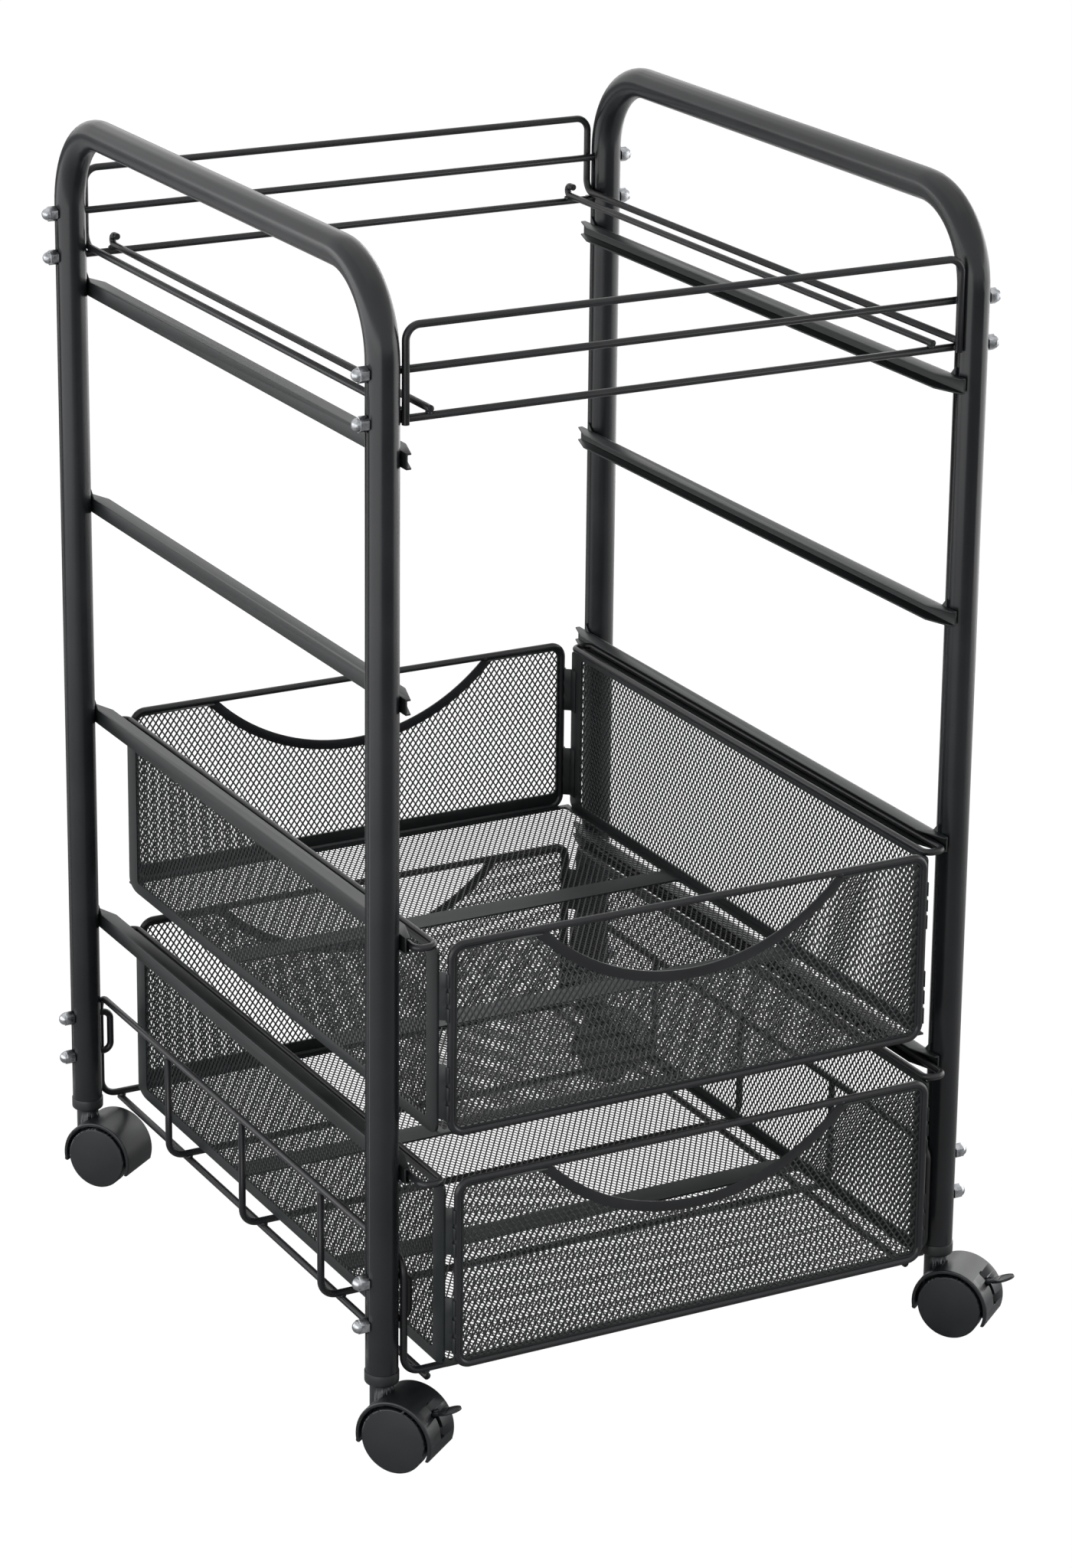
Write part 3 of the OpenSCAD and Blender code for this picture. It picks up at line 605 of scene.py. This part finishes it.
@dataclass
class ExpandedSteel:
    """Expanded steel mesh: staggered diamond gaps between strands that lean like the slats of a blind."""

    cell_w_mm: float = 4.0
    cell_h_mm: float = 5.9
    strand_mm: float = 0.85
    thickness_mm: float = 0.45
    lean_mm: float = 0.24
    merge_mm: float = 0.02
    gap_share: float = 0.47

    def sheet(self, name: str, window: Rect, keep: Optional[Test] = None) -> Piece:
        """Makes a flat sheet in the plane of X and Y, cut square to a window.

        One gap is a diamond with an inset, whose upper corner comes forward and whose lower corner goes
        back. It is copied to the middle of the next four, and two arrays carry the pair over the sheet.

        Args:
            name: The piece's name.
            window: The rectangle that the mesh fills.
            keep: Tells from the middle of a strand whether it stays. All stay where it is None.

        Returns:
            The sheet, with its thickness.
        """
        cell_w, cell_h = self.cell_w_mm * MM, self.cell_h_mm * MM
        piece = add(bpy.ops.mesh.primitive_circle_add, vertices=4, radius=0.5, fill_type="NGON")
        piece.name = name
        settle(piece, Matrix.Diagonal((cell_w, cell_h, 1.0, 1.0)))
        edit_all(piece)
        bpy.ops.mesh.inset(thickness=self.strand_mm * MM / 2, depth=0.0)
        bpy.ops.mesh.delete(type="ONLY_FACE")
        leave_edit()
        for corner in piece.data.vertices:
            if abs(corner.co.x) < SAME_MM * MM and abs(corner.co.y) < self.gap_share * cell_h:
                corner.co.z = math.copysign(self.lean_mm * MM, corner.co.y)
        edit_all(piece)
        bpy.ops.mesh.duplicate_move(TRANSFORM_OT_translate={"value": (cell_w / 2, cell_h / 2, 0.0)})
        leave_edit()
        columns, rows = [math.ceil(size / cell) + 2 for size, cell in zip(window.size, (cell_w, cell_h))]
        for count, step in ((columns, (cell_w, 0.0, 0.0)), (rows, (0.0, cell_h, 0.0))):
            spread = piece.modifiers.new("spread", "ARRAY")
            spread.use_relative_offset = False
            spread.use_constant_offset = True
            spread.constant_offset_displace = step
            spread.count = count
        apply_modifiers(piece)
        half = Vector(((columns - 0.5) * cell_w / 2, (rows - 0.5) * cell_h / 2, 0.0))
        settle(piece, Matrix.Translation(window.middle - half))
        edit_all(piece)
        bpy.ops.mesh.remove_doubles(threshold=self.merge_mm * MM)
        for place, outward in window.sides:
            bpy.ops.mesh.select_all(action="SELECT")
            bpy.ops.mesh.bisect(plane_co=place, plane_no=outward, clear_outer=True)
        leave_edit()
        if keep is not None:
            delete_faces(piece, lambda at: not keep(at))
        thicken(piece, self.thickness_mm)
        apply_modifiers(piece)
        return piece


class End(Enum):
    """The two ends of a drawer or of the cabinet."""

    FRONT = "front"
    REAR = "rear"


class Side(Enum):
    """The two sides of the cabinet, as seen from the front."""

    LEFT = "left"
    RIGHT = "right"


class Level(Enum):
    """The two drawers."""

    UPPER = "upper"
    LOWER = "lower"


# how a sheet that is made flat is turned to stand in a drawer
FLAT = Matrix.Identity(4)
ACROSS = Matrix.Rotation(math.pi / 2, 4, "X")
ALONG = Matrix.Rotation(math.pi / 2, 4, "Z") @ ACROSS


@dataclass
class Drawer:
    """One mesh drawer: wire-edged ends with finger scoops, mesh sides and floor, runners and clips."""

    level: Level
    frame: dict[str, Any]
    mesh: ExpandedSteel = field(default_factory=ExpandedSteel)
    hem: FoldedSheet = field(default_factory=FoldedSheet)
    floor_sheet: FoldedSheet = field(default_factory=lambda: FoldedSheet(thickness_mm=1.2, edge_mm=0.3))
    wire_round_mm: float = 0.25
    scoop_w_mm: float = 188.0
    scoop_depth_mm: float = 40.0
    scoop_strip_mm: float = 6.0
    scoop_steps: int = 128
    cutter_mm: float = 20.0
    end_hem_mm: float = 1.3
    rear_low_hem_mm: float = 7.0
    end_corner_mm: float = 5.9
    end_window_corner_mm: float = 3.5
    side_strip_mm: float = 12.5
    side_low_strip_mm: float = 7.0
    side_top_strip_mm: float = 3.0
    side_corners_mm: tuple[float, ...] = (8.0, 18.0, 2.1, 2.1)
    side_window_corner_mm: float = 2.0
    floor_edge_mm: float = 4.0
    floor_band_mm: float = 18.0
    floor_window_corner_mm: float = 1.0
    tuck_mm: float = 0.9
    clip_past_mm: float = 1.0
    clip_gap_mm: float = 3.0
    clip_depth_mm: float = 2.9
    clip_lower_mm: float = 32.0
    clip_upper_mm: float = 28.0
    weld_r_mm: float = 2.2
    weld_drop_mm: float = 1.0

    @property
    def body(self) -> str:
        """The CAD body that the drawer moves as."""
        return f"{self.level.value}_drawer"

    def node(self, part: str) -> str:
        """The CAD node of one of the drawer's parts."""
        return f"{self.level.value}_{part}"

    def build(self) -> None:
        """Builds every piece of the drawer."""
        for end in End:
            self.wire(f"{end.value}_frame", self.wire_round_mm)
            self.end_mesh(end)
        for side in Side:
            self.side_panel(side)
            self.wire(f"{side.value}_runner")
        self.floor()
        self.clips()
        self.beads()

    def wire(self, part: str, round_mm: float = 0.0) -> None:
        """A wire: the one round an end panel with the strip round its scoop, or the loop in a rail."""
        node = self.node(part)
        mount(merged_copy(self.frame, node, f"{node}_wire", round_mm), self.body, WIRE_COAT, [node])

    def net(self, name: str, window: Rect, keep: Optional[Test] = None) -> Piece:
        """The mesh that fills a window and goes into its hem a little."""
        return self.mesh.sheet(name, window.grown(self.tuck_mm * MM), keep)

    def panel(self, node: str, turn: Matrix, rim: Piece, nets: list[Piece]) -> None:
        """Stands a panel's plain sheet and its mesh, both made flat about the origin, in their node's place."""
        low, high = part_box(node)
        for piece, finish in [(rim, STRIP_COAT)] + [(net, MESH_COAT) for net in nets]:
            settle(piece, Matrix.Translation((low + high) / 2) @ turn)
            mount(piece, self.body, finish, [node])

    def end_mesh(self, end: End) -> None:
        """The mesh of an end panel with its hem, both cut out under the scoop's strip."""
        node = self.node(f"{end.value}_mesh")
        low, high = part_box(node)
        half_w, half_h = (high.x - low.x) / 2, (high.z - low.z) / 2
        depth = self.scoop_depth_mm * MM
        radius = ((self.scoop_w_mm * MM / 2) ** 2 + depth ** 2) / (2 * depth)
        centre = Vector((0.0, half_h + WIRE_R_MM * MM + radius - depth, 0.0))
        reach = radius + self.scoop_strip_mm * MM / 2
        side = self.end_hem_mm * MM
        bottom = side if end is End.FRONT else self.rear_low_hem_mm * MM
        window = Rect(side - half_w, half_w - side, bottom - half_h, half_h - side)
        rim = self.hem.ring(f"{node}_hem", Rect(-half_w, half_w, -half_h, half_h), [window],
                            (self.end_corner_mm,) * 4, self.end_window_corner_mm)
        cut_away(rim, add(bpy.ops.mesh.primitive_cylinder_add, vertices=self.scoop_steps, radius=reach,
                          depth=self.cutter_mm * MM, location=centre))
        net = self.net(f"{node}_net", window, lambda at: (at - centre).length > reach)
        self.panel(node, ACROSS, rim, [net])

    def side_panel(self, side: Side) -> None:
        """A side panel: the mesh, and plain strips along its ends, its top and its bottom."""
        node = self.node(f"{side.value}_panel")
        low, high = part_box(node)
        half_l, half_h = (high.y - low.y) / 2, (high.z - low.z) / 2
        strip = self.side_strip_mm * MM
        window = Rect(strip - half_l, half_l - strip, self.side_low_strip_mm * MM - half_h,
                      half_h - self.side_top_strip_mm * MM)
        rim = self.hem.ring(f"{node}_strips", Rect(-half_l, half_l, -half_h, half_h), [window],
                            self.side_corners_mm, self.side_window_corner_mm)
        self.panel(node, ALONG, rim, [self.net(f"{node}_net", window)])

    def floor(self) -> None:
        """The floor: three fields of mesh between plain edges and two plain bands."""
        node = self.node("floor")
        low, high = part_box(node)
        half_w, half_l = (high.x - low.x) / 2, (high.y - low.y) / 2
        edge, half_band = self.floor_edge_mm * MM, self.floor_band_mm * MM / 2
        third = half_l / 3
        fields = [Rect(edge - half_w, half_w - edge, start, stop) for start, stop in
                  ((edge - half_l, -third - half_band), (half_band - third, third - half_band),
                   (third + half_band, half_l - edge))]
        rim = self.floor_sheet.ring(f"{node}_bands", Rect(-half_w, half_w, -half_l, half_l), fields, (),
                                    self.floor_window_corner_mm)
        nets = [self.net(f"{node}_net_{index}", window) for index, window in enumerate(fields, 1)]
        self.panel(node, FLAT, rim, nets)

    def clips(self) -> None:
        """The eight folded clips that join the panels."""
        node = self.node("clips")
        low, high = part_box(node)
        past, gap, radius = self.clip_past_mm * MM, self.clip_gap_mm * MM, WIRE_R_MM * MM
        pieces = []
        for side_x, out in ((low.x, -1), (high.x, 1)):
            for wire_y, inward in ((low.y + past, 1), (high.y - past, -1)):
                wire = Vector((side_x - out * (self.clip_depth_mm * MM + radius), wire_y, 0.0))
                panel = Vector((side_x, wire_y + inward * (radius + gap), 0.0))
                for start, stop in ((low.z, low.z + self.clip_lower_mm * MM),
                                    (high.z - self.clip_upper_mm * MM, high.z)):
                    pieces.append(FoldedClip().build(node, wire, panel, start, stop))
        mount(join(f"{node}_folded", pieces), self.body, STRIP_COAT, [node])

    def beads(self) -> None:
        """Welds where the strip round a scoop meets the wire above it."""
        places = []
        half = self.scoop_w_mm * MM / 2
        for end in End:
            low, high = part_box(self.node(f"{end.value}_frame"))
            for x in (-half, half):
                places.append(Vector(((low.x + high.x) / 2 + x, (low.y + high.y) / 2,
                                      high.z - WIRE_R_MM * MM - self.weld_drop_mm * MM)))
        beads = WeldBeads(radius_mm=self.weld_r_mm).build(self.node("scoop_welds"), places)
        mount(beads, self.body, WIRE_COAT)


@dataclass
class FixedFrame:
    """The side tubes, the rails, the basket, the base, the nuts and what the casters turn on."""

    frame: dict[str, Any]
    body: str = "frame"
    rail_round_mm: float = 0.3
    nut_round_mm: float = 0.3
    socket_round_mm: float = 0.2
    hook_drop_mm: float = 3.0
    weld_sink_mm: float = 0.3

    def build(self) -> None:
        """Builds every piece of the fixed frame."""
        for side in Side:
            self.copy(f"{side.value}_side_tube", TUBE_COAT, "tube")
            self.file_rail(side)
            for number in range(1, RAIL_PAIRS + 1):
                self.copy(f"{side.value}_rail_{number}", RAIL_COAT, "tube", self.rail_round_mm)
        for node in ("basket_front_hoop", "basket_rear_hoop", "basket_cross_wires", "base_perimeter_wire",
                     "base_cross_wires", "base_long_wires", "base_staples"):
            self.copy(node, WIRE_COAT, "wire")
        self.copy("cap_nuts", ZINC_PLATE, "zinc", self.nut_round_mm)
        self.copy("stem_sockets", SOCKET_NYLON, "caster_plastic", self.socket_round_mm)
        self.copy("caster_stems", GROUND_STEEL, "steel")
        self.beads()

    def copy(self, node: str, finish: Finish, slot: str, round_mm: float = 0.0) -> None:
        """A smooth copy of one node, in a finish, with its sharp edges rounded."""
        mount(merged_copy(self.frame, node, f"{node}_coated", round_mm), self.body, finish, [node])

    def file_rail(self, side: Side) -> None:
        """A file rail, with the hook at its rear end bent close."""
        node = f"{side.value}_file_rail"
        piece = merged_copy(self.frame, node, f"{node}_coated")
        low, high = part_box(node)
        bend = (low.z + high.z) / 2
        for corner in piece.data.vertices:
            if corner.co.z > bend:
                corner.co.z -= self.hook_drop_mm * MM
        mount(piece, self.body, WIRE_COAT, [node])

    def beads(self) -> None:
        """Welds where the basket's and the base's wires meet."""
        radius = WIRE_R_MM * MM
        hoop_low, hoop_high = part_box("basket_front_hoop")
        cross_low, cross_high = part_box("basket_cross_wires")
        rear_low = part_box("basket_rear_hoop")[0]
        legs = (hoop_low.x + radius, hoop_high.x - radius)
        ends = (cross_low.y, cross_high.y)
        places = [Vector((x, y, z)) for x in legs for y in ends
                  for z in (cross_low.z + radius, cross_high.z - radius)]
        places += [Vector((x, cross_low.y, rear_low.z + radius)) for x in legs]
        for side in Side:
            low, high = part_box(f"{side.value}_file_rail")
            places += [Vector(((low.x + high.x) / 2, y, low.z)) for y in (ends[0] + radius, ends[1] - radius)]
        base_low, base_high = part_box("base_cross_wires")
        long_low, long_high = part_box("base_long_wires")
        rows = (base_low.y + radius, (base_low.y + base_high.y) / 2, base_high.y - radius)
        places += [Vector((x, y, base_high.z - self.weld_sink_mm * MM)) for x in legs for y in rows]
        places += [Vector((x, y, long_high.z)) for x in (long_low.x + radius, long_high.x - radius)
                   for y in (long_low.y + radius, *rows, long_high.y - radius)]
        mount(WeldBeads().build("frame_welds", places), self.body, WIRE_COAT)


@dataclass
class BrakeLever:
    """A pedal: a dished oval pad that narrows to an arm, with a round hub on two pins."""

    length_mm: float = 27.3
    pad_l_mm: float = 14.5
    pad_w_mm: float = 10.0
    pad_t_mm: float = 1.6
    rim_mm: float = 0.9
    dish_mm: float = 0.5
    arm_t_mm: float = 2.6
    arm_end_mm: float = 14.4
    neck_start_mm: float = 12.8
    neck_end_mm: float = 18.0
    neck_low_mm: float = 1.6
    neck_half_w_mm: float = 4.2
    hub_r_mm: float = 3.2
    pin_r_mm: float = 1.5
    pin_l_mm: float = 9.0
    edge_mm: float = 0.3
    edge_steps: int = 3
    pad_steps: int = 40
    drum_steps: int = 32

    def build(self, name: str, place: Matrix) -> Piece:
        """Makes the pedal.

        Args:
            name: The piece's name.
            place: The pivot's place and turn: X runs to the pad's tip, Y along the pins, Z up from the pad.

        Returns:
            The pedal, in place.
        """
        half_t, half_arm = self.pad_t_mm / 2, self.arm_t_mm / 2
        piece = join(name, [
            self.pad(),
            self.bar((0.0, half_arm, -self.hub_r_mm, half_t), (self.arm_end_mm, half_arm, -half_t, half_t)),
            self.bar((self.neck_start_mm, half_arm, -self.neck_low_mm, half_t),
                     (self.neck_end_mm, self.neck_half_w_mm, -half_t, half_t)),
            self.drum(self.hub_r_mm, self.arm_t_mm), self.drum(self.pin_r_mm, self.pin_l_mm)])
        bevel(piece, self.edge_mm, MOULD_DEG, self.edge_steps)
        apply_modifiers(piece)
        settle(piece, place)
        smooth(piece, MOULD_DEG)
        return piece

    def pad(self) -> Piece:
        """The oval pad, with a raised rim round its top."""
        piece = add(bpy.ops.mesh.primitive_circle_add, vertices=self.pad_steps, radius=0.5, fill_type="NGON")
        settle(piece, Matrix.Translation(((self.length_mm - self.pad_l_mm / 2) * MM, 0.0, 0.0))
               @ Matrix.Diagonal((self.pad_l_mm * MM, self.pad_w_mm * MM, 1.0, 1.0)))
        thicken(piece, self.pad_t_mm)
        apply_modifiers(piece)
        select_where(piece, "FACE", lambda at: at.z > self.pad_t_mm * MM / 4)
        bpy.ops.mesh.inset(thickness=self.rim_mm * MM, depth=-self.dish_mm * MM)
        leave_edit()
        return piece

    def bar(self, start: tuple[float, ...], stop: tuple[float, ...]) -> Piece:
        """A tapered bar along X, from the place, half width, low and high of each end, in millimetres."""
        piece = add(bpy.ops.mesh.primitive_cube_add, size=2.0)
        for corner in piece.data.vertices:
            at, half, low, high = stop if corner.co.x > 0 else start
            corner.co = Vector((at, half * corner.co.y, high if corner.co.z > 0 else low)) * MM
        return piece

    def drum(self, radius_mm: float, length_mm: float) -> Piece:
        """A cylinder along Y, about the pivot."""
        piece = add(bpy.ops.mesh.primitive_cylinder_add, vertices=self.drum_steps, radius=radius_mm * MM,
                    depth=length_mm * MM, rotation=(math.pi / 2, 0.0, 0.0))
        settle(piece)
        return piece


@dataclass
class Caster:
    """One swivel caster with two wheels, and a brake lever at the front."""

    end: End
    side: Side
    frame: dict[str, Any]
    turn_deg: float = -52.7
    hood_r_mm: float = 23.2
    hood_half_w_mm: float = 15.3
    hood_end_deg: Pair = (-22.0, 194.0)
    skin_mm: float = 0.3
    side_skin_mm: float = 0.1
    end_skin_deg: float = 0.4
    end_round_mm: float = 1.7
    rim_round_mm: float = 0.8
    pivot_mm: Pair = (9.0, 9.8)
    lever_slope_deg: float = 23.6
    slot_w_mm: float = 4.6
    slot_cut_mm: float = 16.0
    slot_deg: Pair = (1.5, 53.5)
    wide_low_deg: float = 13.0
    wide_gap_deg: float = 6.0
    lever_deg: float = 37.0
    lens_mm: Triple = (1.9, 5.4, 2.0)
    lens_steps: int = 32
    wheel_point_mm: float = 1.2

    @property
    def name(self) -> str:
        """What the caster's nodes start with."""
        return f"{self.end.value}_{self.side.value}"

    @property
    def swivel(self) -> str:
        """The CAD body that turns under the post."""
        return f"{self.name}_caster"

    @property
    def place(self) -> Matrix:
        """The axle's middle: X runs away from the swivel axis, Y along the axle, Z up."""
        low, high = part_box(f"{self.name}_axle")
        return Matrix.Translation((low + high) / 2) @ Matrix.Rotation(math.radians(self.turn_deg), 4, "Z")

    def build(self) -> None:
        """Builds every piece of the caster."""
        self.hood()
        axle = merged_copy(self.frame, f"{self.name}_axle", f"{self.name}_axle_turned")
        mount(axle, self.swivel, GROUND_STEEL, [f"{self.name}_axle"])
        for part in ("inner_wheel", "outer_wheel"):
            self.wheel(f"{self.name}_{part}")
        if self.end is End.FRONT:
            self.lever()

    def hood(self) -> None:
        """The hood: its rim and its ends are rounded, and a braked one has the lever's slot and recess."""
        node = f"{self.name}_hood"
        piece = merged_copy(self.frame, node, f"{node}_moulded")
        if self.end is End.FRONT:
            for cutter in self.slot_cutters():
                cut_away(piece, cutter)
        edit_all(piece)
        bpy.ops.mesh.dissolve_limited(angle_limit=math.radians(FLAT_DEG))
        leave_edit()
        own = self.place.inverted()
        skin, side = (self.hood_r_mm - self.skin_mm) * MM, (self.hood_half_w_mm - self.side_skin_mm) * MM
        round_edges(piece, lambda at: self.at_end(own @ at) and (own @ at).xz.length > skin, self.end_round_mm)
        round_edges(piece, lambda at: abs((own @ at).y) > side and (own @ at).xz.length > skin, self.rim_round_mm)
        smooth(piece)
        mount(piece, self.swivel, CASTER_NYLON, [node])

    def at_end(self, at: Vector) -> bool:
        """Tells whether a place in the caster's own frame lies on one of the hood's two flat ends."""
        angle = math.degrees(math.atan2(at.z, at.x))
        return any(abs((angle - end + 180.0) % 360.0 - 180.0) < self.end_skin_deg for end in self.hood_end_deg)

    def on_rim(self, cutter: Piece, angle_deg: float, size_mm: Triple) -> Piece:
        """Puts a cutter on the hood's rim, scaled to a size outward, along the axle and along the rim."""
        settle(cutter, self.place @ Matrix.Rotation(-math.radians(angle_deg), 4, "Y")
               @ Matrix.Translation((self.hood_r_mm * MM, 0.0, 0.0))
               @ Matrix.Diagonal((*(size * MM for size in size_mm), 1.0)))
        return cutter

    def slot_cutters(self) -> list[Piece]:
        """The shapes that widen the slot at its two ends and give the lens-shaped recess across it."""
        cutters = []
        low, high = self.slot_deg
        for start, stop in ((low, low + self.wide_low_deg), (self.lever_deg + self.wide_gap_deg, high)):
            length = self.hood_r_mm * math.radians(stop - start)
            cutters.append(self.on_rim(add(bpy.ops.mesh.primitive_cube_add, size=1.0), (start + stop) / 2,
                                       (self.slot_cut_mm, self.slot_w_mm, length)))
        lens = add(bpy.ops.mesh.primitive_uv_sphere_add, segments=self.lens_steps,
                   ring_count=self.lens_steps // 2, radius=1.0)
        return cutters + [self.on_rim(lens, self.lever_deg, self.lens_mm)]

    def wheel(self, node: str) -> None:
        """A wheel, without the point in the middle of its domed face."""
        piece = merged_copy(self.frame, node, f"{node}_moulded")
        own = self.place.inverted()
        select_where(piece, "VERT", lambda at: (own @ at).xz.length < self.wheel_point_mm * MM)
        bpy.ops.mesh.dissolve_verts()
        leave_edit()
        smooth(piece)
        mount(piece, node, WHEEL_NYLON, [node])

    def lever(self) -> None:
        """The brake lever, raised."""
        node = f"{self.name}_brake_lever"
        pivot = Vector((self.pivot_mm[0], 0.0, self.pivot_mm[1])) * MM
        slope = Matrix.Rotation(-math.radians(self.lever_slope_deg), 4, "Y")
        piece = BrakeLever().build(f"{node}_moulded", self.place @ Matrix.Translation(pivot) @ slope)
        mount(piece, node, CASTER_NYLON, [node])


@dataclass(frozen=True)
class Lamp:
    """A rectangular lamp that the camera doesn't see."""

    name: str
    place: Triple
    size: Pair
    watts: float

    def build(self, aim: Vector) -> None:
        """Adds the lamp and turns it to a place."""
        light = bpy.data.lights.new(self.name, "AREA")
        light.shape = "RECTANGLE"
        light.size, light.size_y = self.size
        light.energy = self.watts
        lamp = bpy.data.objects.new(self.name, light)
        lamp.visible_camera = False
        bpy.context.scene.collection.objects.link(lamp)
        turn = (aim - Vector(self.place)).to_track_quat("-Z", "Y").to_matrix().to_4x4()
        lamp.matrix_world = Matrix.Translation(self.place) @ turn


@dataclass
class Studio:
    """The camera at the photograph's angle, a pale floor and soft lamps."""

    focal_px: float = 5967.29
    centre_x_px: float = 601.25
    centre_y_px: float = 716.8
    azimuth_rad: float = 0.4798
    pitch_rad: float = -0.2961
    roll_rad: float = 0.0059
    camera_mm: Triple = (-1208.10, -2240.21, 1223.81)
    clip: Pair = (0.05, 60.0)
    floor_size: float = 30.0
    floor_shade: str = "#e7e7e7"
    floor_roughness: float = 0.9
    floor_white: float = 0.94
    floor_glow: float = 1.06
    room_light: float = 0.12
    aim: Triple = (0.0, 0.0, 0.35)
    lamps: tuple[Lamp, ...] = (Lamp("left_lamp", (-1.3, 0.0, 0.47), (4.0, 0.9), 21.0),
                               Lamp("right_lamp", (1.3, 0.1, 0.47), (3.0, 0.9), 18.0),
                               Lamp("rear_lamp", (0.95, 2.0, 1.5), (2.4, 1.8), 4.0),
                               Lamp("top_lamp", (0.0, 0.3, 2.6), (2.2, 2.2), 4.0))

    def build(self) -> None:
        """Builds the camera, the floor, the lamps and the world."""
        self.camera()
        self.floor()
        for lamp in self.lamps:
            lamp.build(Vector(self.aim))
        self.world()

    def camera(self) -> None:
        """The camera, from the fit to the photograph's posts, rails and nuts."""
        azimuth, pitch = self.azimuth_rad, self.pitch_rad
        ahead = Vector((math.sin(azimuth) * math.cos(pitch), math.cos(azimuth) * math.cos(pitch), math.sin(pitch)))
        level = Vector((math.cos(azimuth), -math.sin(azimuth), 0.0))
        up = level.cross(ahead)
        right = level * math.cos(self.roll_rad) + up * math.sin(self.roll_rad)
        top = -level * math.sin(self.roll_rad) + up * math.cos(self.roll_rad)
        lens = bpy.data.cameras.new("photo_camera")
        lens.sensor_width = SENSOR_MM
        lens.lens = self.focal_px / PHOTO_HEIGHT * SENSOR_MM
        lens.shift_x = (PHOTO_WIDTH / 2 - self.centre_x_px) / PHOTO_HEIGHT
        lens.shift_y = (self.centre_y_px - PHOTO_HEIGHT / 2) / PHOTO_HEIGHT
        lens.clip_start, lens.clip_end = self.clip
        camera = bpy.data.objects.new("photo_camera", lens)
        bpy.context.scene.collection.objects.link(camera)
        turn = Matrix((right, top, -ahead)).transposed().to_4x4()
        camera.matrix_world = Matrix.Translation(Vector(self.camera_mm) * MM) @ turn
        bpy.context.scene.camera = camera

    def floor(self) -> None:
        """A plain floor, nearly white to the camera, that keeps the cabinet's shadow."""
        floor = add(bpy.ops.mesh.primitive_plane_add, size=self.floor_size, location=(0.0, 0.0, 0.0))
        floor.name = "studio_floor"
        made = bpy.data.materials.new("studio_floor")
        tree = empty_tree(made)
        matt = add_node(tree, "ShaderNodeBsdfPrincipled",
                        {"Base Color": linear(self.floor_shade), "Roughness": self.floor_roughness})
        glow = add_node(tree, "ShaderNodeEmission", {"Color": WHITE, "Strength": self.floor_glow})
        path = add_node(tree, "ShaderNodeLightPath")
        share = add_math(tree, "MULTIPLY", path.outputs["Is Camera Ray"], self.floor_white)
        mixed = add_mix(tree, share, matt.outputs["BSDF"], glow.outputs["Emission"])
        add_node(tree, "ShaderNodeOutputMaterial", links={"Surface": mixed})
        floor.data.materials.append(made)

    def world(self) -> None:
        """A dim grey room that the camera, gloss and glass see as white."""
        world = bpy.data.worlds.new("studio")
        bpy.context.scene.world = world
        tree = empty_tree(world)
        path = add_node(tree, "ShaderNodeLightPath")
        seen = path.outputs["Is Camera Ray"]
        for ray in ("Is Transmission Ray", "Is Glossy Ray"):
            seen = add_math(tree, "MAXIMUM", seen, path.outputs[ray])
        room, white = [add_node(tree, "ShaderNodeBackground", {"Color": WHITE, "Strength": strength})
                       for strength in (self.room_light, 1.0)]
        mixed = add_mix(tree, seen, room.outputs["Background"], white.outputs["Background"])
        add_node(tree, "ShaderNodeOutputWorld", links={"Surface": mixed})
        bpy.context.scene.view_settings.view_transform = "Standard"


def main() -> None:
    """Builds the scene in order: the studio, the fixed frame, the drawers and the casters."""
    logging.basicConfig(level=logging.INFO, format="%(name)s: %(message)s")
    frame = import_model()
    Studio().build()
    FixedFrame(frame).build()
    for level in Level:
        Drawer(level, frame).build()
    for end in End:
        for side in Side:
            Caster(end, side, frame).build()


if __name__ == "__main__":
    main()
